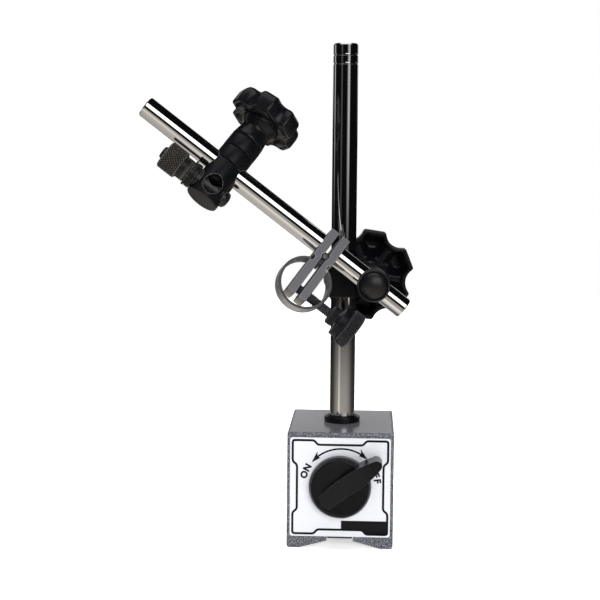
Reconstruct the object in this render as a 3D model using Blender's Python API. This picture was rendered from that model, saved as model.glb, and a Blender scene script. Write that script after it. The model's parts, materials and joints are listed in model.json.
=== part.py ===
"""Switchable magnetic base with a post, a fine-adjust arm and a gauge clamp.

Run it with: blender --background --python part.py
Metres, +Z up. The origin is the middle of the whole stand's box, at the surface it stands on.
"""
import math

import bmesh
import bpy
from mathutils import Matrix, Vector

# ---------------------------------------------------------------- driving sizes
GAP = 0.0003                 # left between pieces that rest on each other
RUN = 0.00006                # radial clearance of a running fit
BASE_PLACE = (0.03002, 0.00042)  # where the base's middle stands from the origin

BASE_WIDTH = 0.050
BASE_DEPTH = 0.060
BASE_HEIGHT = 0.055
BASE_ROUND = 0.0012
BORE_SPACE = 0.0006          # between the rotor and its bore in the base
STRIP_WIDTH = 0.0117         # non-magnetic strips between the two poles
GROOVE_HALF = 0.0192
GROOVE_RISE = 0.0035
GROOVE_RELIEF = 0.0047       # underside of the lower strip
ROTOR_RADIUS = 0.0146
ROTOR_HEIGHT = 0.0299        # rotor axis above the foot
LABEL_HEIGHT = 0.0293        # middle of the label and of the rear cover above the foot
MAGNET_BACK = 0.0012         # space behind and in front of the rotor magnet
MAGNET_FRONT = 0.0030
SPINDLE_RADIUS = 0.004
SPINDLE_SQUARE = 0.0027
COVER_SIZE = 0.040
COVER_THICK = 0.0012
COVER_SCREW_SPREAD = 0.0172
COVER_SCREW_RADIUS = 0.0011
LABEL_SIZE = 0.047
LABEL_THICK = 0.0006
KNOB_RADIUS = 0.0147
KNOB_FACE_RADIUS = 0.0128
KNOB_THICK = 0.0058
LEVER_TURN = math.radians(36.0)
LEVER_TAIL = -0.0115         # ends of the lever from the knob's axis
LEVER_TIP = 0.0236
LEVER_HALF = 0.0046
LEVER_TIP_RADIUS = 0.0027
LEVER_LOW = 0.0004           # lever above the knob's face at its tail, and how much more at its tip
LEVER_RISE = 0.0050

POST_RADIUS = 0.006
POST_TOP = 0.2365
POST_THREAD_RADIUS = 0.004
POST_THREAD_LENGTH = 0.0095
POST_GROOVES = (0.0095, 0.0054)  # below the top
COLLAR_RADIUS = 0.0087
COLLAR_HEIGHT = 0.0030

CLAMP_HEIGHT = 0.12415       # bolt axis above the foot
CLAMP_SWING = math.radians(2.5)
BOLT_SIDE = 0.0132           # bolt axis beside the post axis
ARM_FRONT = 0.024            # arm axis in front of the post axis
ARM_SLOPE = math.radians(37.65)
ROD_RADIUS = 0.005
BLOCK_HALF_DEPTH = 0.009
BLOCK_HALF_HEIGHT = 0.0078
HEAD_RADIUS = 0.00765
HEAD_WALL = 0.0011           # thickness of the sleeve round the bolt's head
HEAD_LENGTH = 0.0095         # bolt head in front of the arm axis
HEAD_DOME = 0.0024
SHOULDER = -0.0166           # back of the bolt's head, from the post axis
BOLT_RADIUS = 0.004
BOLT_END = 0.030
WASHER_RADIUS = 0.0078
WASHER_THICK = 0.0007
STEP_DEEP = 0.0016           # the block's front step at the bolt
SLIT_HALF = 0.0006
LINER_THICK = 0.0005

ADJUST_ALONG = -0.0260       # middle of the fine adjuster, along the arm from the head
ADJUST_ROLL = math.radians(23)
PLATE_THICK = 0.0042
PLATE_SPACE = 0.0020
PLATE_DEPTH = 0.012
PLATE_UP = 0.0075
PLATE_DOWN = 0.0287
PIN_DOWN = 0.00575
PIN_RADIUS = 0.0018
SPRING_DOWN = 0.0209
SPRING_RADIUS = 0.0126
SPRING_THICK = 0.0013
SPRING_WIDTH = 0.008
NOTCH_DOWN = 0.0096
NOTCH_RADIUS = 0.0017
SCREW_DOWN = 0.0242
SCREW_RADIUS = 0.0024
NUT_RADIUS = 0.0046
NUT_START = 0.0178
NUT_END = 0.0216
WHEEL_RADIUS = 0.009
WHEEL_HUB = 0.0080
HUB_FROM = 0.0226            # the thumb wheel's smooth shoulder starts here
WHEEL_START = 0.0262
WHEEL_END = 0.0322
SEAT_DEEP = 0.0032           # how far the arm rods go into the plates
ARM_RIGHT = 0.0184           # right end of the arm from the head
ARM_LEFT = 0.1335            # left end of the arm from the head

HOLDER_ALONG = -0.0868       # gauge holder, along the arm from the head
HOLDER_ROLL = math.radians(24)
HOLDER_RADIUS = 0.0081
DRAW_RADIUS = 0.0066         # head and shank of the bolt inside the holder
DRAW_SHANK = 0.0030
HOLDER_END = -0.0191
HOLDER_SPLIT = 0.0012        # holder head ends here, just past the arm's middle
SLEEVE_SPLIT = 0.0090
HUB_START = 0.0162
GAUGE_DOWN = 0.0123
GAUGE_RADIUS = 0.0040
STEM_SPACE = 0.00005

MAIN_KNOB = {"flat": 0.02225, "valley": 0.0189, "lobe": 0.0112, "hub": 0.0082, "neck": 0.0070,
             "rim": 0.0178, "top": 0.0298, "bore": 0.0054, "deep": 0.0230, "turn": math.radians(-21.5)}
UPPER_KNOB = {"flat": 0.0171, "valley": 0.0146, "lobe": 0.0086, "hub": 0.0081, "neck": 0.0064,
              "rim": 0.0115, "top": 0.0218, "bore": 0.0047, "deep": 0.0165, "turn": math.radians(15)}
LOBES = 6

FINE = 48                    # sides of a running fit, an outer turned piece and a small one
ROUND = 32
SMALL = 20

# ---------------------------------------------------------------- frames
BASE = Matrix.Translation((*BASE_PLACE, 0.0))
CLAMP = BASE @ Matrix.Translation((0.0, 0.0, CLAMP_HEIGHT)) @ Matrix.Rotation(CLAMP_SWING, 4, "Z")
BOLT = CLAMP @ Matrix.Translation((BOLT_SIDE, 0.0, 0.0))
HEAD = BOLT @ Matrix.Translation((0.0, -ARM_FRONT, 0.0)) @ Matrix.Rotation(ARM_SLOPE, 4, "Y")
ADJUST = HEAD @ Matrix.Translation((ADJUST_ALONG, 0.0, 0.0)) @ Matrix.Rotation(-ADJUST_ROLL, 4, "X")
HOLDER = HEAD @ Matrix.Translation((HOLDER_ALONG, 0.0, 0.0)) @ Matrix.Rotation(-HOLDER_ROLL, 4, "X")


def along(frame, axis, place=(0.0, 0.0, 0.0)):
    """The frame moved to place, with its local Z turned to run along axis."""
    turn = Vector((0.0, 0.0, 1.0)).rotation_difference(Vector(axis)).to_matrix().to_4x4()
    return frame @ Matrix.Translation(place) @ turn


# ---------------------------------------------------------------- materials
def material(name, colour, metallic, roughness):
    mat = bpy.data.materials.new(name)
    mat.use_nodes = True
    shader = mat.node_tree.nodes["Principled BSDF"]
    shader.inputs["Base Color"].default_value = (*colour, 1.0)
    shader.inputs["Metallic"].default_value = metallic
    shader.inputs["Roughness"].default_value = roughness
    mat.diffuse_color = (*colour, 1.0)
    return mat


def grey_paint(name):
    return material(name, (0.24, 0.25, 0.27), 0.0, 0.45)


def black_steel(name):
    return material(name, (0.022, 0.023, 0.026), 0.6, 0.42)


def black_plastic(name):
    return material(name, (0.020, 0.021, 0.023), 0.0, 0.48)


def chrome(name):
    return material(name, (0.80, 0.81, 0.83), 1.0, 0.10)


def bright_steel(name):
    return material(name, (0.55, 0.56, 0.60), 1.0, 0.35)


def brass(name):
    return material(name, (0.70, 0.52, 0.24), 1.0, 0.32)


# ---------------------------------------------------------------- modelling helpers
def add_object(name, mesh, frame, mat):
    bmesh.ops.recalc_face_normals(mesh, faces=mesh.faces)
    data = bpy.data.meshes.new(name)
    mesh.to_mesh(data)
    mesh.free()
    data.shade_smooth()
    data.set_sharp_from_angle(angle=math.radians(35))
    obj = bpy.data.objects.new(name, data)
    obj.matrix_world = frame
    bpy.context.scene.collection.objects.link(obj)
    if mat is not None:
        data.materials.append(mat(name))
    return obj


def ring_of(mesh, radius, height, sides):
    if radius == 0.0:
        return [mesh.verts.new((0.0, 0.0, height))]
    turns = [2 * math.pi * i / sides for i in range(sides)]
    return [mesh.verts.new((radius * math.cos(a), radius * math.sin(a), height)) for a in turns]


def join_rings(mesh, low, high):
    count = max(len(low), len(high))
    for i in range(count):
        j = (i + 1) % count
        if len(low) == 1:
            mesh.faces.new((low[0], high[j], high[i]))
        elif len(high) == 1:
            mesh.faces.new((low[i], low[j], high[0]))
        else:
            mesh.faces.new((low[i], low[j], high[j], high[i]))


def turned(name, outline, frame, mat, sides=ROUND, tube=False):
    """A solid turned about local Z from (radius, height) points; a tube's outline closes on itself."""
    mesh = bmesh.new()
    rings = [ring_of(mesh, radius, height, sides) for radius, height in outline]
    for low, high in zip(rings, rings[1:]):
        join_rings(mesh, low, high)
    if tube:
        join_rings(mesh, rings[-1], rings[0])
    return add_object(name, mesh, frame, mat)


def rod(name, radius, start, end, frame, mat, sides=ROUND, chamfer=0.0):
    outline = [(0.0, start), (radius - chamfer, start), (radius, start + chamfer),
               (radius, end - chamfer), (radius - chamfer, end), (0.0, end)]
    if chamfer == 0.0:
        outline = [(0.0, start), (radius, start), (radius, end), (0.0, end)]
    return turned(name, outline, frame, mat, sides)


def tube(name, inner, outer, start, end, frame, mat, sides=ROUND, chamfer=0.0002):
    outline = [(inner, start), (outer - chamfer, start), (outer, start + chamfer),
               (outer, end - chamfer), (outer - chamfer, end), (inner, end)]
    return turned(name, outline, frame, mat, sides, tube=True)


def prism(name, outline, start, end, frame, mat):
    """An outline in local X and Y, extruded along local Z."""
    mesh = bmesh.new()
    face = mesh.faces.new([mesh.verts.new((x, y, start)) for x, y in outline])
    made = bmesh.ops.extrude_face_region(mesh, geom=[face])
    moved = [v for v in made["geom"] if isinstance(v, bmesh.types.BMVert)]
    bmesh.ops.translate(mesh, vec=(0.0, 0.0, end - start), verts=moved)
    return add_object(name, mesh, frame, mat)


def box(name, low, high, frame, mat):
    outline = [(low[0], low[1]), (high[0], low[1]), (high[0], high[1]), (low[0], high[1])]
    return prism(name, outline, low[2], high[2], frame, mat)


def arc(centre, radius, start, end, steps):
    turns = [start + (end - start) * i / steps for i in range(steps + 1)]
    return [(centre[0] + radius * math.cos(a), centre[1] + radius * math.sin(a)) for a in turns]


def combine(obj, tool, operation):
    tool.hide_render = True
    tool.display_type = "WIRE"
    step = obj.modifiers.new(operation.lower() + "_" + tool.name, "BOOLEAN")
    step.operation = operation
    step.solver = "EXACT"
    step.object = tool


def cut(obj, tool):
    combine(obj, tool, "DIFFERENCE")


def unite(obj, tool):
    combine(obj, tool, "UNION")


def soften(obj, width, steps=2):
    bevel = obj.modifiers.new("soften", "BEVEL")
    bevel.width = width
    bevel.segments = steps
    bevel.limit_method = "ANGLE"
    bevel.angle_limit = math.radians(40)


# ---------------------------------------------------------------- magnetic base
def front_frame():
    """Local X to the right, local Y up, local Z towards the front."""
    turn = Matrix.Rotation(math.pi / 2, 4, "X")
    return BASE @ turn


def round_outer_edges(obj):
    """Rounds the base's outer corners and top edge, and leaves the seams square."""
    mesh = bmesh.new()
    mesh.from_mesh(obj.data)
    near = 0.00001

    def outer(vert):
        return (abs(abs(vert.co.x) - BASE_WIDTH / 2) < near, abs(abs(vert.co.z) - BASE_DEPTH / 2) < near,
                abs(vert.co.y - BASE_HEIGHT) < near)

    edges = []
    for edge in mesh.edges:
        shared = [a and b for a, b in zip(outer(edge.verts[0]), outer(edge.verts[1]))]
        if sum(shared) >= 2:
            edges.append(edge)
    bmesh.ops.bevel(mesh, geom=edges, offset=BASE_ROUND, segments=3, affect="EDGES", profile=0.5)
    mesh.to_mesh(obj.data)
    mesh.free()
    obj.data.shade_smooth()
    obj.data.set_sharp_from_angle(angle=math.radians(35))


def rotor_bore():
    return rod("tool_rotor_bore", ROTOR_RADIUS + BORE_SPACE, -BASE_DEPTH, BASE_DEPTH,
               along(BASE, (0.0, 1.0, 0.0), (0.0, 0.0, ROTOR_HEIGHT)), None, FINE)


def poles(bore):
    inner = STRIP_WIDTH / 2 + GAP
    half = BASE_WIDTH / 2
    for name, side in (("pole_left", -1), ("pole_right", 1)):
        outline = [(side * half, 0.0), (side * GROOVE_HALF, 0.0), (side * inner, GROOVE_RISE),
                   (side * inner, BASE_HEIGHT), (side * half, BASE_HEIGHT)]
        pole = prism(name, outline, -BASE_DEPTH / 2, BASE_DEPTH / 2, front_frame(), grey_paint)
        round_outer_edges(pole)
        cut(pole, bore)


def strips():
    """The two non-magnetic strips; the upper one also takes the post's threaded end."""
    half = STRIP_WIDTH / 2
    bore = ROTOR_RADIUS + BORE_SPACE
    upper_start = ROTOR_HEIGHT + bore + GAP
    upper = box("strip_upper", (-half, upper_start, -BASE_DEPTH / 2), (half, BASE_HEIGHT, BASE_DEPTH / 2),
                front_frame(), grey_paint)
    round_outer_edges(upper)
    hole = rod("tool_post_hole", POST_THREAD_RADIUS + RUN, 0.0, BASE_HEIGHT * 2, BASE, None, SMALL)
    cut(upper, hole)
    box("strip_lower", (-half, GROOVE_RELIEF, -BASE_DEPTH / 2),
        (half, ROTOR_HEIGHT - bore - GAP, BASE_DEPTH / 2), front_frame(), grey_paint)


def rounded_square(size, corner, middle, steps=4):
    half = size / 2 - corner
    points = []
    for i, (sx, sy) in enumerate(((1, 1), (-1, 1), (-1, -1), (1, -1))):
        centre = (middle[0] + sx * half, middle[1] + sy * half)
        points += arc(centre, corner, i * math.pi / 2, (i + 1) * math.pi / 2, steps)
    return points


def base_plates():
    """The label plate in front and the steel cover behind, each round the rotor's spindle."""
    middle = (0.0, LABEL_HEIGHT)
    start = BASE_DEPTH / 2 + GAP
    label = prism("label_plate", rounded_square(LABEL_SIZE, 0.0012, middle), start, start + LABEL_THICK,
                  front_frame(), bright_steel)
    hole = rod("tool_label_hole", SPINDLE_RADIUS + 0.0012, 0.0, BASE_DEPTH,
               along(BASE, (0.0, -1.0, 0.0), (0.0, 0.0, ROTOR_HEIGHT)), None, SMALL)
    cut(label, hole)
    cover = prism("rear_cover", rounded_square(COVER_SIZE, 0.0020, middle), -start - COVER_THICK, -start,
                  front_frame(), bright_steel)
    for i, (sx, sy) in enumerate(((1, 1), (-1, 1), (-1, -1), (1, -1))):
        place = (sx * COVER_SCREW_SPREAD, start - GAP, middle[1] + sy * COVER_SCREW_SPREAD)
        screw_axis = along(BASE, (0.0, 1.0, 0.0), place)
        hole = rod("tool_cover_hole_%d" % (i + 1), COVER_SCREW_RADIUS + 0.0002, -0.006, 0.006,
                   screw_axis, None, 16)
        cut(cover, hole)
        for pole in ("pole_left", "pole_right"):
            cut(bpy.data.objects[pole], hole)
        head_start = GAP + COVER_THICK + 0.0001
        turned("cover_screw_%d" % (i + 1),
               [(0.0, -0.0050), (COVER_SCREW_RADIUS, -0.0050), (COVER_SCREW_RADIUS, head_start),
                (0.0023, head_start), (0.0023, head_start + 0.0007), (0.0015, head_start + 0.0013),
                (0.0, head_start + 0.0014)],
               screw_axis, black_steel, 16)


def switch():
    """The knob, its spindle and the round magnet that they turn."""
    axis = along(BASE, (0.0, -1.0, 0.0), (0.0, 0.0, ROTOR_HEIGHT))
    front = BASE_DEPTH / 2
    magnet = rod("rotor_magnet", ROTOR_RADIUS, -front + MAGNET_BACK, front - MAGNET_FRONT, axis, bright_steel,
                 FINE, 0.0004)
    socket = SPINDLE_SQUARE + GAP
    square_hole = box("tool_spindle_socket", (-socket, -socket, -front + 0.010), (socket, socket, front),
                      axis, None)
    cut(magnet, square_hole)
    collar = front - MAGNET_FRONT + 0.0005
    spindle = rod("rotor_spindle", SPINDLE_RADIUS, collar, front + 0.0050, axis, bright_steel, SMALL, 0.0002)
    square = box("tool_spindle_square", (-SPINDLE_SQUARE, -SPINDLE_SQUARE, -front + 0.012),
                 (SPINDLE_SQUARE, SPINDLE_SQUARE, collar + 0.0001), axis, None)
    unite(spindle, square)
    switch_knob(axis, front + GAP + LABEL_THICK + GAP)


def switch_knob(axis, start):
    """A tapered disc with a wedge-shaped lever that stands out past its rim."""
    face = start + KNOB_THICK
    disc = turned("switch_knob",
                  [(0.0, start), (KNOB_RADIUS - 0.0003, start), (KNOB_RADIUS, start + 0.0004),
                   (KNOB_RADIUS - 0.0002, face - 0.0026), (KNOB_FACE_RADIUS + 0.0002, face - 0.0003),
                   (KNOB_FACE_RADIUS - 0.0003, face), (0.0, face)],
                  axis, black_plastic, FINE)
    turn = Matrix.Rotation(LEVER_TURN, 4, "Z")
    unite(disc, lever_tool(axis @ turn, start + LEVER_LOW, face))
    socket = rod("tool_knob_socket", SPINDLE_RADIUS + GAP, 0.0, start + 0.0045, axis, None, SMALL)
    cut(disc, socket)


def lever_tool(frame, low, face):
    """The lever's solid: local X runs from its low tail to its high tip."""
    tail, tip, half = LEVER_TAIL, LEVER_TIP, LEVER_HALF
    spread = math.pi / 2 - 0.35
    outline = [(tail + 0.0006, half - 0.0012), (tail, 0.0), (tail + 0.0006, -half + 0.0012),
               (tail + 0.0018, -half), (tip - 0.0075, -half + 0.0004)]
    outline += arc((tip - LEVER_TIP_RADIUS, 0.0), LEVER_TIP_RADIUS, -spread, spread, 6)
    outline += [(tip - 0.0075, half - 0.0004), (tail + 0.0018, half)]
    mesh = bmesh.new()
    past_rim = 0.0115
    bottom = [mesh.verts.new((x, y, face - 0.002 if x < past_rim else low)) for x, y in outline]
    top = []
    for x, y in outline:
        share = min(1.0, 1.25 * (x - tail) / (tip - tail))
        top.append(mesh.verts.new((x, y * 0.96, face + LEVER_LOW + LEVER_RISE * share)))
    for i in range(len(outline)):
        j = (i + 1) % len(outline)
        mesh.faces.new((bottom[i], bottom[j], top[j], top[i]))
    mesh.faces.new(top)
    mesh.faces.new(list(reversed(bottom)))
    bmesh.ops.triangulate(mesh, faces=mesh.faces)
    return add_object("tool_lever", mesh, frame, None)


# ---------------------------------------------------------------- post
def post():
    groove = 0.00025
    bottom = BASE_HEIGHT - POST_THREAD_LENGTH
    outline = [(0.0, bottom), (POST_THREAD_RADIUS, bottom),
               (POST_THREAD_RADIUS, BASE_HEIGHT + GAP), (POST_RADIUS, BASE_HEIGHT + GAP)]
    for down in POST_GROOVES:
        middle = POST_TOP - down
        outline += [(POST_RADIUS, middle - groove), (POST_RADIUS - groove, middle),
                    (POST_RADIUS, middle + groove)]
    outline += [(POST_RADIUS, POST_TOP - 0.0006), (POST_RADIUS - 0.0006, POST_TOP), (0.0, POST_TOP)]
    turned("post", outline, BASE, chrome, FINE)
    low = BASE_HEIGHT + GAP
    top = low + COLLAR_HEIGHT
    turned("post_collar",
           [(POST_RADIUS + GAP, low), (COLLAR_RADIUS, low), (COLLAR_RADIUS, top - 0.0010),
            (COLLAR_RADIUS - 0.0004, top - 0.0006), (POST_RADIUS + 0.0014, top - 0.0006),
            (POST_RADIUS + 0.0010, top), (POST_RADIUS + GAP, top)],
           BASE, black_plastic, ROUND, tube=True)


# ---------------------------------------------------------------- clamp on the post
def post_clamp():
    liner_outer = POST_RADIUS + RUN + LINER_THICK
    half = BLOCK_HALF_HEIGHT
    tube("post_liner", POST_RADIUS + RUN, liner_outer, -half, half, CLAMP, black_plastic, FINE, 0.00005)
    left = liner_outer + RUN + 0.0009
    ear = BOLT_SIDE + 0.0079
    outline = [(-left, -BLOCK_HALF_DEPTH), (ear - 0.003, -BLOCK_HALF_DEPTH), (ear, -BLOCK_HALF_DEPTH + 0.003),
               (ear, BLOCK_HALF_DEPTH - 0.003), (ear - 0.003, BLOCK_HALF_DEPTH), (-left, BLOCK_HALF_DEPTH)]
    block = prism("clamp_block", outline, -half, half, CLAMP, black_steel)
    soften(block, 0.0005)
    cut(block, rod("tool_liner_hole", liner_outer + RUN, -0.02, 0.02, CLAMP, None, FINE))
    cut(block, box("tool_clamp_slit", (0.004, -SLIT_HALF, -0.02), (0.04, SLIT_HALF, 0.02), CLAMP, None))
    step = box("tool_front_step", (0.0046, -0.02, -0.02), (0.04, STEP_DEEP - BLOCK_HALF_DEPTH, 0.02),
               CLAMP, None)
    cut(block, step)
    cut(block, rod("tool_bolt_bore", BOLT_RADIUS + GAP, -0.03, 0.03, along(BOLT, (0.0, 1.0, 0.0)), None, SMALL))


def pivot_bolt():
    """The bolt whose eye holds the arm, the sleeve round its head, and the spacers on its shank."""
    axis = along(BOLT, (0.0, 1.0, 0.0))
    front = -ARM_FRONT - HEAD_LENGTH
    inner = HEAD_RADIUS - HEAD_WALL
    widest = math.radians(75)
    turns = [widest * i / 5 for i in range(6)]
    outline = [(inner * math.sin(a) / math.sin(widest),
                front + HEAD_DOME * (1 - math.cos(a)) / (1 - math.cos(widest))) for a in turns]
    outline += [(inner, SHOULDER), (BOLT_RADIUS, SHOULDER), (BOLT_RADIUS, BOLT_END),
                (BOLT_RADIUS - 0.0004, BOLT_END + 0.0005), (0.0, BOLT_END + 0.0005)]
    bolt = turned("pivot_bolt", outline, axis, black_steel, ROUND)
    cut(bolt, rod("tool_arm_eye", ROD_RADIUS + RUN, -0.03, 0.03, along(HEAD, (1.0, 0.0, 0.0)), None, FINE))
    outer = tube("head_sleeve", inner + 0.0001, HEAD_RADIUS, front + 0.0020, SHOULDER, axis, black_steel)
    arm_axis = along(HEAD, (1.0, 0.0, 0.0))
    cut(outer, rod("tool_sleeve_eye", ROD_RADIUS + 0.0002, -0.03, 0.03, arm_axis, None, FINE))
    face = STEP_DEEP - BLOCK_HALF_DEPTH
    bore = BOLT_RADIUS + GAP
    tube("front_spacer", bore, HEAD_RADIUS, SHOULDER + GAP, face - GAP, axis, black_steel)
    washer = BLOCK_HALF_DEPTH + GAP
    tube("rear_washer", bore, WASHER_RADIUS, washer, washer + WASHER_THICK, axis, bright_steel)


# ---------------------------------------------------------------- star knobs
def star_outline(size):
    """Flat-ended lobes joined by concave arcs."""
    half_angle = math.pi / LOBES
    flat, valley, half = size["flat"], size["valley"], size["lobe"] / 2
    dot = flat * math.cos(half_angle) + half * math.sin(half_angle)
    far = (flat * flat + half * half - valley * valley) / (2 * (dot - valley))
    radius = far - valley
    spread = math.atan2(flat * math.sin(half_angle) - half * math.cos(half_angle), far - dot)
    points = []
    for k in range(LOBES):
        lobe = 2 * half_angle * k + size["turn"]
        for y in (-half, half):
            points.append((flat * math.cos(lobe) - y * math.sin(lobe),
                           flat * math.sin(lobe) + y * math.cos(lobe)))
        bisector = lobe + half_angle
        centre = (far * math.cos(bisector), far * math.sin(bisector))
        sweep = arc(centre, radius, bisector + math.pi + spread, bisector + math.pi - spread, 6)
        points += sweep[1:-1]
    return points


def star_knob(name, size, frame):
    """A hollow six-lobed knob; its hub starts at local Z = 0 and its rim faces the hub's end."""
    knob = prism(name, star_outline(size), size["rim"], size["top"], frame, black_plastic)
    soften(knob, 0.0012)
    inside = size["neck"] - 0.001
    low, floor = size["rim"] - 0.001, size["top"] - 0.0035
    hollow = turned("tool_hollow_" + name,
                    [(inside, low), (size["valley"] - 0.0022, low), (size["valley"] - 0.0030, floor),
                     (inside, floor)],
                    frame, None, ROUND, tube=True)
    cut(knob, hollow)
    hub = turned("tool_hub_" + name,
                 [(0.0, 0.0), (size["hub"] - 0.0004, 0.0), (size["hub"], 0.0004), (size["neck"], size["rim"]),
                  (size["neck"], size["top"] - 0.0030), (0.0, size["top"] - 0.0030)],
                 frame, None, ROUND)
    unite(knob, hub)
    bore = rod("tool_bore_" + name, size["bore"], -0.001, size["deep"], frame, None, SMALL)
    cut(knob, bore)


def knob_insert(name, thread, size, frame):
    tube(name, thread + RUN, size["bore"] - GAP, 0.0006, size["deep"] - 0.001, frame, brass, SMALL)


def main_knob():
    frame = along(BOLT, (0.0, 1.0, 0.0), (0.0, BLOCK_HALF_DEPTH + WASHER_THICK + 2 * GAP, 0.0))
    star_knob("main_knob", MAIN_KNOB, frame)
    knob_insert("main_knob_insert", BOLT_RADIUS, MAIN_KNOB, frame)


def upper_knob():
    frame = along(HOLDER, (0.0, 0.0, 1.0), (0.0, 0.0, HUB_START + GAP))
    star_knob("upper_knob", UPPER_KNOB, frame)
    knob_insert("upper_knob_insert", DRAW_SHANK, UPPER_KNOB, frame)


# ---------------------------------------------------------------- arm and fine adjuster
def rods():
    axis = along(HEAD, (1.0, 0.0, 0.0))
    plate = PLATE_SPACE / 2 + PLATE_THICK
    reach = plate - SEAT_DEEP + 0.0002
    rod("rod_right", ROD_RADIUS, ADJUST_ALONG + reach, ARM_RIGHT, axis, chrome, FINE, 0.0004)
    rod("rod_left", ROD_RADIUS, -ARM_LEFT, ADJUST_ALONG - reach, axis, chrome, FINE, 0.0004)


def adjuster_plate(name, side):
    """One plate of the fine adjuster; local X is along the arm and local Z up the plate."""
    near = PLATE_SPACE / 2
    far = near + PLATE_THICK
    half = PLATE_DEPTH / 2
    low, high = min(side * near, side * far), max(side * near, side * far)
    pivot = ADJUST @ Matrix.Translation((0.0, 0.0, -PIN_DOWN))
    plate = box(name, (low, -half, PIN_DOWN - PLATE_DOWN), (high, half, PIN_DOWN + PLATE_UP),
                pivot, bright_steel)
    soften(plate, 0.0003, 1)
    seat = rod("tool_seat_" + name, ROD_RADIUS + RUN, side * (far - SEAT_DEEP), side * 0.02,
               along(ADJUST, (1.0, 0.0, 0.0)), None, FINE)
    cut(plate, seat)
    pin_axis = along(pivot, (0.0, 1.0, 0.0))
    cut(plate, rod("tool_pin_" + name, PIN_RADIUS + 0.0001, -0.02, 0.02, pin_axis, None, SMALL))
    notch = rod("tool_notch_" + name, NOTCH_RADIUS, -0.02, 0.02,
                along(ADJUST, (0.0, 1.0, 0.0), (side * far, 0.0, -NOTCH_DOWN)), None, 16)
    cut(plate, notch)
    return plate


def fine_adjuster():
    right = adjuster_plate("plate_right", 1)
    left = adjuster_plate("plate_left", -1)
    half = PLATE_DEPTH / 2
    pivot = along(ADJUST, (0.0, -1.0, 0.0), (0.0, 0.0, -PIN_DOWN))
    rod("pivot_pin", PIN_RADIUS, -half, half + 0.0002, pivot, bright_steel, SMALL, 0.0002)
    key_low = PIN_DOWN + 0.0040
    box("hinge_key", (-0.0007, 0.0005 - half, -key_low), (0.0007, half - 0.0005, 0.0018 - key_low), ADJUST,
        black_steel)
    far = PLATE_SPACE / 2 + PLATE_THICK
    screw_axis = along(ADJUST, (1.0, 0.0, 0.0), (0.0, 0.0, -SCREW_DOWN))
    through = rod("tool_screw_hole", SCREW_RADIUS + RUN, 0.0, 0.03, screw_axis, None, SMALL)
    cut(right, through)
    seat = rod("tool_screw_seat", SCREW_RADIUS + GAP, -0.0030, 0.0, screw_axis, None, SMALL)
    cut(left, seat)
    retaining_spring(far)
    start = -PLATE_SPACE / 2 - 0.0006
    rod("fine_screw", SCREW_RADIUS, start, WHEEL_START, screw_axis, black_steel, SMALL, 0.0003)
    tube("lock_nut", SCREW_RADIUS + RUN, NUT_RADIUS, NUT_START, NUT_END, screw_axis, black_steel, SMALL)
    wheel = rod("thumb_wheel", WHEEL_RADIUS, WHEEL_START, WHEEL_END, screw_axis, black_steel, ROUND, 0.0006)
    unite(wheel, rod("tool_wheel_hub", WHEEL_HUB, HUB_FROM, WHEEL_START + 0.001, screw_axis, None, ROUND))
    cut(wheel, rod("tool_wheel_bore", SCREW_RADIUS + RUN, 0.0, WHEEL_START + GAP, screw_axis, None, SMALL))


def retaining_spring(far):
    """The open ring of spring steel that draws the two plates' lower ends together."""
    rise = SPRING_DOWN - NOTCH_DOWN
    lean = math.atan2(far, rise)
    start, end = math.pi / 2 + lean, math.pi / 2 - lean + 2 * math.pi
    inner = SPRING_RADIUS - SPRING_THICK
    outline = arc((0.0, 0.0), SPRING_RADIUS, start, end, 44)
    outline += reversed(arc((0.0, 0.0), inner, start, end, 44))
    frame = along(ADJUST, (0.0, -1.0, 0.0), (0.0, 0.0, -SPRING_DOWN))
    ring = prism("c_spring", outline, -SPRING_WIDTH / 2, SPRING_WIDTH / 2, frame, bright_steel)
    hole = rod("tool_spring_hole", SCREW_RADIUS + 0.0006, 0.006, 0.03,
               along(ADJUST, (1.0, 0.0, 0.0), (0.0, 0.0, -SCREW_DOWN)), None, SMALL)
    cut(ring, hole)


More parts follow.
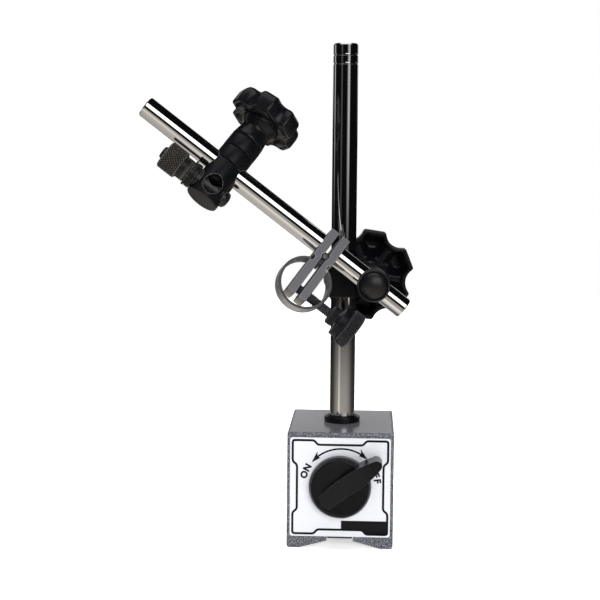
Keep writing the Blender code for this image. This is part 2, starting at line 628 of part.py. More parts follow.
# ---------------------------------------------------------------- gauge holder
def gauge_holder():
    """The holder's head and sleeves, closed on the arm by the bolt that the knob draws."""
    arm_axis = along(HOLDER, (1.0, 0.0, 0.0))
    axis = along(HOLDER, (0.0, 0.0, 1.0))
    wall = DRAW_RADIUS + 0.0001
    floor = -0.0061
    head = turned("holder_head",
                  [(0.0, HOLDER_END), (HOLDER_RADIUS - 0.0005, HOLDER_END),
                   (HOLDER_RADIUS, HOLDER_END + 0.0005), (HOLDER_RADIUS, HOLDER_SPLIT),
                   (wall, HOLDER_SPLIT), (wall, floor), (0.0, floor)],
                  axis, black_steel, ROUND)
    cut(head, rod("tool_holder_arm", ROD_RADIUS + RUN, -0.03, 0.03, arm_axis, None, FINE))
    cut(head, rod("tool_gauge_hole", GAUGE_RADIUS + STEM_SPACE, -0.03, 0.03, stem_axis(), None, ROUND))
    cut(head, turned("tool_gauge_bolt_bore",
                     [(0.0, -0.03), (0.00535, -0.03), (0.00535, 0.0060), (0.0041, 0.0060), (0.0041, 0.03),
                      (0.0, 0.03)],
                     cross_axis(), None, SMALL))
    bolt = turned("draw_bolt",
                  [(0.0, floor + GAP), (DRAW_RADIUS, floor + GAP), (DRAW_RADIUS, 0.0066), (DRAW_SHANK, 0.0066),
                   (DRAW_SHANK, 0.0310), (0.0, 0.0310)], axis, black_steel, ROUND)
    cut(bolt, rod("tool_draw_eye", ROD_RADIUS + RUN, -0.03, 0.03, arm_axis, None, FINE))
    bore = DRAW_SHANK + GAP
    lower = turned("sleeve_lower",
                   [(wall, HOLDER_SPLIT + GAP), (HOLDER_RADIUS, HOLDER_SPLIT + GAP),
                    (HOLDER_RADIUS, SLEEVE_SPLIT - 0.0003), (HOLDER_RADIUS - 0.0003, SLEEVE_SPLIT),
                    (bore, SLEEVE_SPLIT), (bore, 0.0071), (wall, 0.0071)],
                   axis, black_steel, ROUND, tube=True)
    cut(lower, rod("tool_sleeve_arm", ROD_RADIUS + RUN, -0.03, 0.03, arm_axis, None, FINE))
    tube("sleeve_upper", bore, HOLDER_RADIUS, SLEEVE_SPLIT + GAP, HUB_START, axis, black_steel, ROUND, 0.0003)


def cross_axis():
    """Along the gauge bolt, which lies beside the arm."""
    return along(HOLDER, (1.0, 0.0, 0.0), (0.0, 0.0, -GAUGE_DOWN))


def stem_axis():
    """Along the hole for the gauge's stem."""
    return along(HOLDER, (0.0, 1.0, 0.0), (0.0, 0.0, -GAUGE_DOWN))


def gauge_bolt():
    """The eye bolt that grips a gauge stem, its washers and its knurled nut."""
    cross = cross_axis()
    shank = 0.0030
    bolt = turned("gauge_bolt",
                  [(0.0, -0.0275), (0.0024, -0.0275), (shank, -0.0269), (shank, -0.0072), (0.0052, -0.0072),
                   (0.0052, 0.0057), (0.0040, 0.0057), (0.0040, 0.0086), (0.0034, 0.0096), (0.0018, 0.0102),
                   (0.0, 0.0104)], cross, black_steel, SMALL)
    cut(bolt, rod("tool_bolt_eye", GAUGE_RADIUS + STEM_SPACE, -0.03, 0.03, stem_axis(), None, ROUND))
    tube("jaw_washer", shank + GAP, 0.0062, -0.0109, -0.0084, cross, black_steel, SMALL)
    tube("thin_washer", shank + GAP, 0.0066, -0.0121, -0.0112, cross, black_steel, SMALL)
    turned("knurled_nut",
           [(shank + RUN, -0.0164), (shank + RUN, -0.0260), (0.0064, -0.0260), (0.0069, -0.0255),
            (0.0069, -0.0169), (0.0064, -0.0164), (0.0055, -0.0164), (0.0055, -0.0124), (shank + RUN, -0.0124)],
           cross, black_steel, ROUND, tube=True)


def build():
    for obj in list(bpy.data.objects):
        bpy.data.objects.remove(obj, do_unlink=True)
    bore = rotor_bore()
    poles(bore)
    strips()
    base_plates()
    switch()
    post()
    post_clamp()
    pivot_bolt()
    main_knob()
    rods()
    fine_adjuster()
    gauge_holder()
    gauge_bolt()
    upper_knob()


build()
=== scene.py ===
"""Looks of the magnetic stand: detailed pieces, materials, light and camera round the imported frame.

Metres, +Z up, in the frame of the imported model. Most sizes repeat the driving sizes of the part.
"""
import json
import math

import bmesh
import bpy
from mathutils import Matrix, Vector

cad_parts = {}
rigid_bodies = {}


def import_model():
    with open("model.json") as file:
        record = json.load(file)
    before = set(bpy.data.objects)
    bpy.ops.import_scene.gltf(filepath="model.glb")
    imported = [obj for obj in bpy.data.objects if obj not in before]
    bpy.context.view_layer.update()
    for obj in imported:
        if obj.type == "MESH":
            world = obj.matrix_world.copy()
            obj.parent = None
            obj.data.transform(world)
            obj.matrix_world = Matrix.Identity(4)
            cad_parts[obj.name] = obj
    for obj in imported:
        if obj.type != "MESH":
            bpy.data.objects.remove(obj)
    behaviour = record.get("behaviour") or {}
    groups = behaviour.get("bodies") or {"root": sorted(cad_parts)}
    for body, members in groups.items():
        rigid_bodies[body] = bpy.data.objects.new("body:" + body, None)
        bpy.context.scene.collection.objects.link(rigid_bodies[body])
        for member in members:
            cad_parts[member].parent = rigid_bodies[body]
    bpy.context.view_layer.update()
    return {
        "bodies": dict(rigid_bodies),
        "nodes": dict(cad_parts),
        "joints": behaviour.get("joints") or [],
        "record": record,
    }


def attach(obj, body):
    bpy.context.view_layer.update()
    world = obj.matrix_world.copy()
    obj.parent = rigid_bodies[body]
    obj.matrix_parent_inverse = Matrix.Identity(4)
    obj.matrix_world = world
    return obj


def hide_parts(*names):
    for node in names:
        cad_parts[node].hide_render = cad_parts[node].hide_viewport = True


# ---------------------------------------------------------------- driving sizes
BASE_PLACE = (0.03002, 0.00042)
BASE_WIDTH = 0.050
BASE_DEPTH = 0.060
BASE_HEIGHT = 0.055
STRIP_HALF = 0.00585
STRIP_TOP = 0.0138
GROOVE_HALF = 0.0192
GROOVE_RISE = 0.0035
ROTOR_HEIGHT = 0.0299
LABEL_SIZE = 0.047
LABEL_MIDDLE = 0.0293
LABEL_FACE = 0.0309          # front of the label plate, from the base's middle
COVER_SCREW_SPREAD = 0.0172
DIAL_BACK = 0.0312
DIAL_THICK = 0.0058
DIAL_RADIUS = 0.0147
DIAL_FACE_RADIUS = 0.0128
LEVER_TURN = math.radians(36.0)

POST_RADIUS = 0.006
POST_TOP = 0.2365
POST_GROOVES = (0.0095, 0.0054)  # below the top
COLLAR_RADIUS = 0.0087
COLLAR_HEIGHT = 0.0030
CLAMP_HEIGHT = 0.12415
CLAMP_SWING = math.radians(2.5)
BOLT_SIDE = 0.0132
ARM_FRONT = 0.024
ARM_SLOPE = math.radians(37.65)
ROD_RADIUS = 0.005
HEAD_RADIUS = 0.00765
HEAD_WALL = 0.0011
HEAD_LENGTH = 0.0095
SHOULDER = -0.0166
BLOCK_HALF_DEPTH = 0.009

ADJUST_ALONG = -0.0260
ADJUST_ROLL = math.radians(23)
PLATE_FAR = 0.0052           # outer face of each adjuster plate from the middle
SEAT_REACH = 0.0022
PLATE_DEPTH = 0.012
PIN_DOWN = 0.00575
SPRING_DOWN = 0.0209
SPRING_RADIUS = 0.0126
SPRING_THICK = 0.0013
SPRING_WIDTH = 0.008
NOTCH_DOWN = 0.0096
SCREW_DOWN = 0.0242
SCREW_RADIUS = 0.0024
WHEEL_RADIUS = 0.009
WHEEL_START = 0.0262
WHEEL_HUB = 0.0075           # a little slimmer than in the part
HUB_FROM = 0.0226
WHEEL_END = 0.0322
NUT_RADIUS = 0.0046
NUT_START = 0.0178
NUT_END = 0.0216
ARM_RIGHT = 0.0184
ARM_LEFT = 0.1335

HOLDER_ALONG = -0.0868
HOLDER_ROLL = math.radians(24)
HOLDER_RADIUS = 0.0081
HOLDER_END = -0.0191
HOLDER_SPLIT = 0.0012
SLEEVE_SPLIT = 0.0090
HUB_START = 0.0162
GAUGE_DOWN = 0.0123
GAUGE_RADIUS = 0.0040
EYE_TURN = math.radians(-50)   # the eye bolt stands turned from the holder's stem hole
GAP = 0.0003
TOOL_REACH = 0.03            # half length of the rods that cut through holes

MAIN_KNOB = {"flat": 0.02225, "valley": 0.0189, "lobe": 0.0112, "hub": 0.0082, "neck": 0.0072, "rim": 0.0178,
             "top": 0.0298, "bore": 0.0054, "turn": math.radians(-21.5), "wall": 0.0021, "deep": 0.0085,
             "round": 2.5, "flare": 0.0004, "edge": 1.0, "lip": 0.0012}
UPPER_KNOB = {"flat": 0.0171, "valley": 0.0146, "lobe": 0.0086, "hub": 0.0081, "neck": 0.0066, "rim": 0.0115,
              "top": 0.0218, "bore": 0.0047, "turn": math.radians(15), "wall": 0.0019, "deep": -0.0012,
              "round": 6.0, "flare": 0.0030, "edge": 1.5, "lip": 0.0}
LOBES = 6
SIDES = 96
CORNERS = ((1, 1), (-1, 1), (-1, -1), (1, -1))

# ---------------------------------------------------------------- frames
BASE = Matrix.Translation((*BASE_PLACE, 0.0))
CLAMP = BASE @ Matrix.Translation((0.0, 0.0, CLAMP_HEIGHT)) @ Matrix.Rotation(CLAMP_SWING, 4, "Z")
BOLT = CLAMP @ Matrix.Translation((BOLT_SIDE, 0.0, 0.0))
HEAD = BOLT @ Matrix.Translation((0.0, -ARM_FRONT, 0.0)) @ Matrix.Rotation(ARM_SLOPE, 4, "Y")
ADJUST = HEAD @ Matrix.Translation((ADJUST_ALONG, 0.0, 0.0)) @ Matrix.Rotation(-ADJUST_ROLL, 4, "X")
HOLDER = HEAD @ Matrix.Translation((HOLDER_ALONG, 0.0, 0.0)) @ Matrix.Rotation(-HOLDER_ROLL, 4, "X")
FRONT = BASE @ Matrix.Rotation(math.pi / 2, 4, "X")


RIGHTWARDS = (1.0, 0.0, 0.0)
BACKWARDS = (0.0, 1.0, 0.0)
FORWARDS = (0.0, -1.0, 0.0)


def along(frame, axis, place=(0.0, 0.0, 0.0)):
    """The frame moved to place, with its local Z turned to run along axis."""
    turn = Vector((0.0, 0.0, 1.0)).rotation_difference(Vector(axis)).to_matrix().to_4x4()
    return frame @ Matrix.Translation(place) @ turn


DIAL = along(BASE, FORWARDS, (0.0, 0.0, ROTOR_HEIGHT))
BOLT_AXIS = along(BOLT, BACKWARDS)
ARM_AXIS = along(HEAD, RIGHTWARDS)
SCREW_AXIS = along(ADJUST, RIGHTWARDS, (0.0, 0.0, -SCREW_DOWN))
HOLDER_ARM = along(HOLDER, RIGHTWARDS)
CROSS_AXIS = along(HOLDER, RIGHTWARDS, (0.0, 0.0, -GAUGE_DOWN))
STEM_AXIS = along(HOLDER, BACKWARDS, (0.0, 0.0, -GAUGE_DOWN))


# ---------------------------------------------------------------- node helpers
class Tree:
    """A node tree with short ways to add and link nodes."""

    def __init__(self, tree):
        self.nodes = tree.nodes
        self.links = tree.links

    def put(self, socket, value):
        """Gives a socket a value or a colour, or links another node's output to it."""
        if isinstance(value, bpy.types.NodeSocket):
            self.links.new(value, socket)
        elif socket.type == "RGBA":
            socket.default_value = (*value[:3], 1.0)
        else:
            socket.default_value = value

    def add(self, kind, sockets=None, **settings):
        node = self.nodes.new(kind)
        for name, value in settings.items():
            setattr(node, name, value)
        for name, value in (sockets or {}).items():
            self.put(node.inputs[name], value)
        return node

    def ramp(self, value, low, high, to_low=0.0, to_high=1.0, **settings):
        sockets = {"Value": value, "From Min": low, "From Max": high, "To Min": to_low, "To Max": to_high}
        return self.add("ShaderNodeMapRange", sockets, **settings).outputs["Result"]

    def dot(self, first, second):
        node = self.add("ShaderNodeVectorMath", {0: first, 1: second}, operation="DOT_PRODUCT")
        return node.outputs["Value"]


class Finish(Tree):
    """A material that varies with the object's own coordinates."""

    def __init__(self, name):
        self.mat = bpy.data.materials.new(name)
        self.mat.use_nodes = True
        super().__init__(self.mat.node_tree)
        self.shader = self.nodes["Principled BSDF"]
        self.place = self.add("ShaderNodeTexCoord").outputs["Object"]

    def noise(self, scale, detail=3.0, stretch=None, roughness=0.5):
        place = self.place
        if stretch:
            place = self.add("ShaderNodeMapping", {"Vector": place, "Scale": stretch}).outputs["Vector"]
        sockets = {"Vector": place, "Scale": scale, "Detail": detail, "Roughness": roughness}
        return self.add("ShaderNodeTexNoise", sockets).outputs["Fac"]

    def cells(self, scale):
        node = self.add("ShaderNodeTexVoronoi", {"Vector": self.place, "Scale": scale}, feature="SMOOTH_F1")
        return node.outputs["Distance"]

    def mixed(self, value, first, second):
        """A colour between first and second; each is a colour or another node's output."""
        return self.add("ShaderNodeMix", {0: value, 6: first, 7: second}, data_type="RGBA").outputs[2]

    def edges(self, radius):
        """1 on outer edges, 0 on flats: how far the bevelled normal leans from the true one."""
        bevel = self.add("ShaderNodeBevel", {"Radius": radius}, samples=4)
        true = self.add("ShaderNodeNewGeometry")
        return self.ramp(self.dot(bevel.outputs["Normal"], true.outputs["Normal"]), 0.99, 0.80)

    def looks(self, colour, rough, bump, **values):
        """Roughness is (0 to 1 value, low, high), bump is (height, distance, strength)."""
        value, low, high = rough
        height, distance, strength = bump
        normal = self.add("ShaderNodeBump", {"Height": height, "Distance": distance, "Strength": strength})
        inputs = self.shader.inputs
        self.put(inputs["Base Color"], colour)
        self.put(inputs["Roughness"], self.ramp(value, 0.0, 1.0, low, high))
        self.put(inputs["Normal"], normal.outputs["Normal"])
        for name, setting in values.items():
            self.put(inputs[name.replace("_", " ").title().replace("Ior", "IOR")], setting)
        return self.mat


# ---------------------------------------------------------------- materials
def hammered_paint():
    finish = Finish("hammered_grey_paint")
    cells = finish.cells(1150.0)
    fine = finish.noise(1500.0, 4.0, roughness=0.7)
    base = finish.mixed(finish.ramp(cells, 0.15, 0.75), (0.075, 0.081, 0.102), (0.165, 0.172, 0.200))
    light = finish.mixed(finish.ramp(fine, 0.54, 0.63), base, (0.42, 0.43, 0.47))
    paint = finish.mixed(finish.ramp(fine, 0.48, 0.40), light, (0.014, 0.016, 0.027))
    return finish.looks(paint, (finish.ramp(fine, 0.38, 0.62), 0.34, 0.52),
                        (finish.ramp(cells, 0.0, 0.8), 0.00012, 0.8),
                        metallic=0.25, coat_weight=0.15, coat_roughness=0.2)


def top_paint():
    finish = Finish("satin_grey_paint")
    cloud = finish.noise(90.0, 4.0)
    paint = finish.mixed(cloud, (0.125, 0.120, 0.137), (0.155, 0.149, 0.168))
    return finish.looks(paint, (cloud, 0.17, 0.24), (finish.noise(2200.0, 2.0), 0.00002, 0.5),
                        metallic=0.05, specular_ior_level=0.5)


def streaked_metal(name, detail, stretch, dark, light, rough, bump, metallic=1.0):
    """A metal with fine lines one way."""
    finish = Finish(name)
    lines = finish.noise(60.0, detail, stretch)
    return finish.looks(finish.mixed(lines, dark, light), (lines, *rough), (lines, *bump), metallic=metallic)


def brushed_label():
    finish = Finish("brushed_silver_label")
    lines = finish.noise(40.0, 5.0, (0.8, 60.0, 60.0))
    pale = finish.mixed(lines, (0.73, 0.74, 0.79), (0.83, 0.84, 0.885))
    silver = finish.mixed(finish.ramp(finish.noise(60.0, 2.0), 0.3, 0.9), pale, (0.79, 0.80, 0.85))
    return finish.looks(silver, (lines, 0.34, 0.50), (lines, 0.00001, 0.25), metallic=0.25)


def label_ink():
    finish = Finish("printed_black_ink")
    cloud = finish.noise(500.0)
    ink = finish.mixed(cloud, (0.003, 0.003, 0.005), (0.007, 0.007, 0.010))
    return finish.looks(ink, (cloud, 0.4, 0.55), (cloud, 0.000006, 0.3), specular_ior_level=0.2)


def chrome():
    finish = Finish("polished_chrome")
    smudge = finish.noise(55.0)
    wear = finish.noise(900.0, 2.0, (1.0, 1.0, 0.06))
    bright = finish.mixed(smudge, (0.74, 0.745, 0.76), (0.83, 0.83, 0.835))
    return finish.looks(bright, (finish.ramp(smudge, 0.35, 0.75), 0.045, 0.085), (wear, 0.000002, 0.12),
                        metallic=1.0)


def satin_steel(name="satin_steel", dark=(0.115, 0.118, 0.132), light=(0.190, 0.194, 0.212)):
    finish = Finish(name)
    lines = finish.noise(70.0, 5.0, (50.0, 50.0, 2.0))
    # Paler edges from the bevel mask: partly wear, partly a painted highlight.
    edge_wear_and_highlight = finish.mixed(finish.edges(0.0004), finish.mixed(lines, dark, light), (0.70, 0.70, 0.70))
    return finish.looks(edge_wear_and_highlight, (lines, 0.36, 0.52), (lines, 0.000015, 0.4), metallic=0.85)


def dark_surface(name, grain, clouds, dark, light, edge, edge_wear_and_highlight, rough, **values):
    """Near black, with fine grain, faint clouds and paler edges; the paler edges are partly wear, partly a
    painted highlight.
    """
    finish = Finish(name)
    cloud = finish.noise(clouds)
    colour = finish.mixed(finish.edges(edge), finish.mixed(cloud, dark, light), edge_wear_and_highlight)
    return finish.looks(colour, (cloud, *rough), (finish.noise(grain), 0.000012, 0.35), **values)


def black_oxide(name="black_oxide_steel", rough=(0.30, 0.44), edge_wear_and_highlight=0.14, shine=0.24):
    # The pale edge colour is partly wear, partly a painted highlight along the edges.
    return dark_surface(name, 1600.0, 120.0, (0.0025, 0.0027, 0.0034), (0.0060, 0.0063, 0.0076), 0.0005,
                        (edge_wear_and_highlight, edge_wear_and_highlight, edge_wear_and_highlight * 1.1), rough, metallic=0.2, specular_ior_level=shine)


def knob_plastic():
    # The (0.060, 0.064, 0.076) edge colour is partly wear, partly a painted highlight on the knob's edges.
    return dark_surface("black_moulded_plastic", 1400.0, 90.0, (0.0022, 0.0024, 0.0030),
                        (0.0045, 0.0048, 0.0060), 0.0003, (0.060, 0.064, 0.076), (0.22, 0.32),
                        specular_ior_level=0.32)


def knurl_steel():
    finish = Finish("worn_black_knurl")
    grain = finish.noise(1500.0)
    tips = finish.ramp(finish.add("ShaderNodeNewGeometry").outputs["Pointiness"], 0.52, 0.60)
    base = finish.mixed(finish.noise(200.0), (0.006, 0.006, 0.006), (0.014, 0.012, 0.011))
    return finish.looks(finish.mixed(tips, base, (0.22, 0.19, 0.165)), (grain, 0.34, 0.5),
                        (grain, 0.00001, 0.3), metallic=0.5)


def floor_paper():
    finish = Finish("pale_floor")
    cloud = finish.noise(3.0)
    paper = finish.mixed(cloud, (0.90, 0.90, 0.90), (0.93, 0.93, 0.93))
    return finish.looks(paper, (cloud, 0.75, 0.9), (finish.noise(900.0, 2.0), 0.00002, 0.2),
                        emission_color=(1.0, 1.0, 1.0), emission_strength=0.55)


def all_materials():
    across = (60.0, 1.2, 60.0)
    return {
        "hammered": hammered_paint(),
        "top": top_paint(),
        "ground": streaked_metal("ground_steel", 5.0, across, (0.36, 0.37, 0.39), (0.60, 0.61, 0.63),
                                 (0.24, 0.42), (0.00002, 0.4)),
        "separator": streaked_metal("separator_strip_metal", 4.0, across, (0.045, 0.045, 0.052),
                                    (0.10, 0.095, 0.095), (0.38, 0.58), (0.00002, 0.4), 0.6),
        "brass": streaked_metal("turned_brass", 4.0, (2.0, 2.0, 50.0), (0.50, 0.35, 0.14),
                                (0.72, 0.54, 0.26), (0.25, 0.42), (0.00001, 0.3)),
        "label": brushed_label(),
        "ink": label_ink(),
        "chrome": chrome(),
        "steel": satin_steel(),
        "spring": satin_steel("spring_steel", (0.42, 0.41, 0.41), (0.56, 0.55, 0.55)),
        # A far darker copy of the spring steel for the ring's flat sides: painted shade.
        "spring_painted_shade_edge": satin_steel("spring_edge_steel", (0.060, 0.058, 0.062), (0.11, 0.108, 0.114)),
        # Pale warm steel for the plates' lower ends: a painted reflection of the table below.
        "plate_end_painted_reflection": satin_steel("painted_reflection_end_steel", (0.46, 0.43, 0.39), (0.60, 0.57, 0.52)),
        "pin": satin_steel("pin_steel", (0.09, 0.087, 0.082), (0.16, 0.155, 0.145)),
        "cover": satin_steel("cover_steel", (0.40, 0.41, 0.43), (0.55, 0.56, 0.58)),
        "washer": satin_steel("washer_steel", (0.012, 0.012, 0.014), (0.03, 0.03, 0.033)),
        "oxide": black_oxide(),
        "gloss": black_oxide("glossy_black_steel", (0.34, 0.40), 0.03, 0.75),
        "block": black_oxide("black_block_steel", (0.34, 0.46), 0.02, 0.20),
        "knurl": knurl_steel(),
        "knob": knob_plastic()}


# ---------------------------------------------------------------- mesh helpers
def add_piece(name, mesh, frame, mats=(), body=None, slot=None, angle=35):
    bmesh.ops.recalc_face_normals(mesh, faces=mesh.faces)
    data = bpy.data.meshes.new(name)
    mesh.to_mesh(data)
    mesh.free()
    obj = bpy.data.objects.new(name, data)
    obj.matrix_world = frame
    bpy.context.scene.collection.objects.link(obj)
    for mat in mats:
        data.materials.append(mat)
    smooth(obj, angle)
    if body:
        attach(obj, body)
    return obj


def smooth(obj, angle=35):
    obj.data.shade_smooth()
    obj.data.set_sharp_from_angle(angle=math.radians(angle))


def grid_mesh(rings, loop=False):
    """Quads between rings of points; a ring of one point closes an end."""
    mesh = bmesh.new()
    made = [[mesh.verts.new(point) for point in ring] for ring in rings]
    pairs = list(zip(made, made[1:]))
    if loop:
        pairs.append((made[-1], made[0]))
    for low, high in pairs:
        count = max(len(low), len(high))
        for i in range(count):
            j = (i + 1) % count
            if len(low) == 1:
                mesh.faces.new((low[0], high[j], high[i]))
            elif len(high) == 1:
                mesh.faces.new((low[i], low[j], high[0]))
            else:
                mesh.faces.new((low[i], low[j], high[j], high[i]))
    return mesh


def polar(radius, angle, height):
    return (radius * math.cos(angle), radius * math.sin(angle), height)


def ring(radius, height, sides=SIDES):
    if radius == 0.0:
        return [(0.0, 0.0, height)]
    turns = [2 * math.pi * i / sides for i in range(sides)]
    return [polar(radius, a, height) for a in turns]


def turned_mesh(outline, sides=SIDES, loop=False):
    return grid_mesh([ring(radius, height, sides) for radius, height in outline], loop=loop)


def tube(inner, outer, start, end):
    """The outline of a plain tube; an inner radius of 0 gives a solid rod."""
    return [(inner, start), (outer, start), (outer, end), (inner, end)]


def rounded(points, radius, steps=3, closed=False):
    """An outline with each corner turned into a short arc."""
    made = []
    count = len(points)
    for i, point in enumerate(points):
        here = Vector(point)
        if not closed and i in (0, count - 1):
            made.append(tuple(here))
            continue
        before = Vector(points[i - 1])
        after = Vector(points[(i + 1) % count])
        reach = min(radius, (before - here).length * 0.45, (after - here).length * 0.45)
        first = here + (before - here).normalized() * reach
        last = here + (after - here).normalized() * reach
        for k in range(steps + 1):
            t = k / steps
            made.append(tuple(first * (1 - t) ** 2 + here * 2 * t * (1 - t) + last * t ** 2))
    return made


def prism_mesh(outline, start, end):
    mesh = bmesh.new()
    face = mesh.faces.new([mesh.verts.new((x, y, start)) for x, y in outline])
    made = bmesh.ops.extrude_face_region(mesh, geom=[face])
    moved = [v for v in made["geom"] if isinstance(v, bmesh.types.BMVert)]
    bmesh.ops.translate(mesh, vec=(0.0, 0.0, end - start), verts=moved)
    return mesh


def arc(centre, radius, start, end, steps):
    turns = [start + (end - start) * i / steps for i in range(steps + 1)]
    return [(centre[0] + radius * math.cos(a), centre[1] + radius * math.sin(a)) for a in turns]


def settle(obj):
    """Replaces the mesh by what its modifiers make of it."""
    depsgraph = bpy.context.evaluated_depsgraph_get()
    data = bpy.data.meshes.new_from_object(obj.evaluated_get(depsgraph))
    obj.modifiers.clear()
    obj.data = data
    smooth(obj)


def cut(obj, *tools):
    """Cuts each tool's shape out of the object and removes the tool."""
    for tool in tools:
        step = obj.modifiers.new("cut", "BOOLEAN")
        step.operation = "DIFFERENCE"
        step.solver = "EXACT"
        step.object = tool
    bpy.context.view_layer.update()
    settle(obj)
    for tool in tools:
        bpy.data.objects.remove(tool, do_unlink=True)


def rod_tool(radius, start, end, frame, sides=SIDES, flare=None):
    """A cylinder to cut with; flare is (how much wider, over what depth) at both ends."""
    outline = tube(0.0, radius, start, end)
    if flare:
        wide, deep = flare
        outline = [(0.0, start), (radius + wide, start), (radius, start + deep),
                   (radius, end - deep), (radius + wide, end), (0.0, end)]
    return add_piece("tool", turned_mesh(outline, sides), frame)


def soft_edges(obj, width, segments=3):
    bevel = obj.modifiers.new("soft_edges", "BEVEL")
    bevel.width = width
    bevel.segments = segments
    bevel.limit_method = "ANGLE"
    bevel.angle_limit = math.radians(40)
    even = obj.modifiers.new("even_shading", "WEIGHTED_NORMAL")
    even.keep_sharp = True


def turned(name, outline, frame, mat, body, slot, sides=SIDES, soft=0.0, loop=False):
    if soft:
        outline = rounded(outline, soft, closed=loop)
    return add_piece(name, turned_mesh(outline, sides, loop), frame, [mat], body, slot)


# ---------------------------------------------------------------- magnetic base
def base_body(mats):
    """One painted casting with its V groove: hammered sides, satin top, ground feet."""
    half = BASE_WIDTH / 2
    slot_half = STRIP_HALF + GAP
    outline = [(half, 0.0), (half, BASE_HEIGHT), (-half, BASE_HEIGHT), (-half, 0.0), (-GROOVE_HALF, 0.0),
               (-slot_half, GROOVE_RISE), (-slot_half, STRIP_TOP), (slot_half, STRIP_TOP),
               (slot_half, GROOVE_RISE), (GROOVE_HALF, 0.0)]
    mesh = prism_mesh(outline, -BASE_DEPTH / 2, BASE_DEPTH / 2)
    near = 0.00001

    def shared(edge):
        found = 0
        for axis, limit in ((0, half), (2, BASE_DEPTH / 2)):
            found += all(abs(abs(v.co[axis]) - limit) < near for v in edge.verts)
        return found + all(abs(v.co.y - BASE_HEIGHT) < near for v in edge.verts)

    edges = [edge for edge in mesh.edges if shared(edge) >= 2]
    bmesh.ops.bevel(mesh, geom=edges, offset=0.0012, segments=5, affect="EDGES", profile=0.5)
    mesh.normal_update()
    for face in mesh.faces:
        middle = face.calc_center_median()
        if face.normal.y > 0.99 and middle.y > BASE_HEIGHT - near:
            face.material_index = 1
        elif abs(face.normal.z) < 0.5 and middle.y < STRIP_TOP + near and abs(middle.x) < half - 0.0006:
            face.material_index = 2
    body = add_piece("base_body", mesh, FRONT, [mats["hammered"], mats["top"], mats["ground"]], "base",
                     "grey_paint")
    body.modifiers.new("even_shading", "WEIGHTED_NORMAL").keep_sharp = True
    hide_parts("pole_left", "pole_right", "strip_upper")


def label_outline(size, corner):
    points = []
    half = size / 2 - corner
    for i, (sx, sy) in enumerate(CORNERS):
        centre = (sx * half, LABEL_MIDDLE + sy * half)
        points += arc(centre, corner, i * math.pi / 2, (i + 1) * math.pi / 2, 6)
    return points


def label(mats):
    sheet = add_piece("label_sheet", prism_mesh(label_outline(LABEL_SIZE, 0.0012), 0.0303, LABEL_FACE), FRONT,
                      [mats["label"]], "base", "plate_steel")
    cut(sheet, rod_tool(0.0052, 0.0, 0.05, DIAL, 48))
    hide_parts("label_plate")
    printed = bmesh.new()
    stepped_border(printed)
    number_box(printed)
    turn_arrow(printed)
    for letter, angle in (("O", 162.5), ("N", 150.5), ("O", 27.5), ("F", 18.0), ("F", 9.0)):
        dial_letter(printed, letter, math.radians(angle))
    add_piece("label_print", printed, FRONT, [mats["ink"]], "base", "plate_steel")


PRINT_LOW = LABEL_FACE - 0.00002
PRINT_HIGH = LABEL_FACE + 0.00003


def printed_shape(mesh, outline):
    """A closed flat shape laid on the label, in points about the label's middle."""
    low = [mesh.verts.new((x, LABEL_MIDDLE + y, PRINT_LOW)) for x, y in outline]
    high = [mesh.verts.new((x, LABEL_MIDDLE + y, PRINT_HIGH)) for x, y in outline]
    mesh.faces.new(high)
    mesh.faces.new(list(reversed(low)))
    for i in range(len(outline)):
        j = (i + 1) % len(outline)
        mesh.faces.new((low[i], low[j], high[j], high[i]))


def printed_line(mesh, path, width, closed=False):
    """A line of even width along a path, as one strip of short quads."""
    count = len(path)
    left, right = [], []
    for i in range(count):
        here = Vector(path[i])
        before = Vector(path[i - 1]) if closed or i else here
        after = Vector(path[(i + 1) % count]) if closed or i < count - 1 else here
        first = (here - before).normalized() if before != here else (after - here).normalized()
        second = (after - here).normalized() if after != here else first
        middle = (first + second).normalized()
        side = Vector((-middle.y, middle.x)) * (width / 2 / max(0.5, middle.dot(first)))
        left.append(here + side)
        right.append(here - side)
    steps = count if closed else count - 1
    for i in range(steps):
        j = (i + 1) % count
        printed_shape(mesh, [tuple(left[i]), tuple(left[j]), tuple(right[j]), tuple(right[i])])


def stepped_border(mesh):
    """The border line; the middle of each side steps inwards."""
    outer, inner, near, far = 0.02225, 0.0202, 0.0106, 0.0122
    side = [(outer, -outer + 0.0002), (outer, -far), (inner, -near), (inner, near), (outer, far)]
    points = []
    for k in range(4):
        turn = Matrix.Rotation(k * math.pi / 2, 2)
        points += [tuple(turn @ Vector(point)) for point in side[1:]]
        points.append(tuple(turn @ Vector((outer, outer))))
    path = rounded(points, 0.0011, 4, closed=True)
    printed_line(mesh, path, 0.00105, closed=True)


def number_box(mesh):
    """The filled block in the lower right corner, left blank."""
    outline = [(0.0006, -0.0158), (0.0220, -0.0158), (0.0222, -0.0210), (0.0210, -0.0224), (0.0122, -0.0224),
               (0.0106, -0.0204), (0.0006, -0.0204)]
    printed_shape(mesh, rounded(outline, 0.0003, 2, closed=True))


def dial_point(radius, angle):
    """A point about the dial's axis, given from the label's middle."""
    return (radius * math.cos(angle), radius * math.sin(angle) + ROTOR_HEIGHT - LABEL_MIDDLE)


def turn_arrow(mesh):
    radius, aside = 0.0178, 0.0005
    start, end = math.radians(46.0), math.radians(141.5)
    inset = 0.0038 / radius

    def point(distance, angle):
        x, y = dial_point(distance, angle)
        return (x + aside, y)

    path = [point(radius, start + inset + (end - start - 2 * inset) * i / 32) for i in range(33)]
    printed_line(mesh, path, 0.00082)
    for tip, way in ((start, 1), (end, -1)):
        back = tip + way * 0.0054 / radius
        notch = tip + way * 0.0040 / radius
        inner = tip + way * 0.0048 / radius
        printed_shape(mesh, [point(radius, tip), point(radius + 0.0022, back), point(radius, notch),
                             point(radius - 0.0012, inner)])


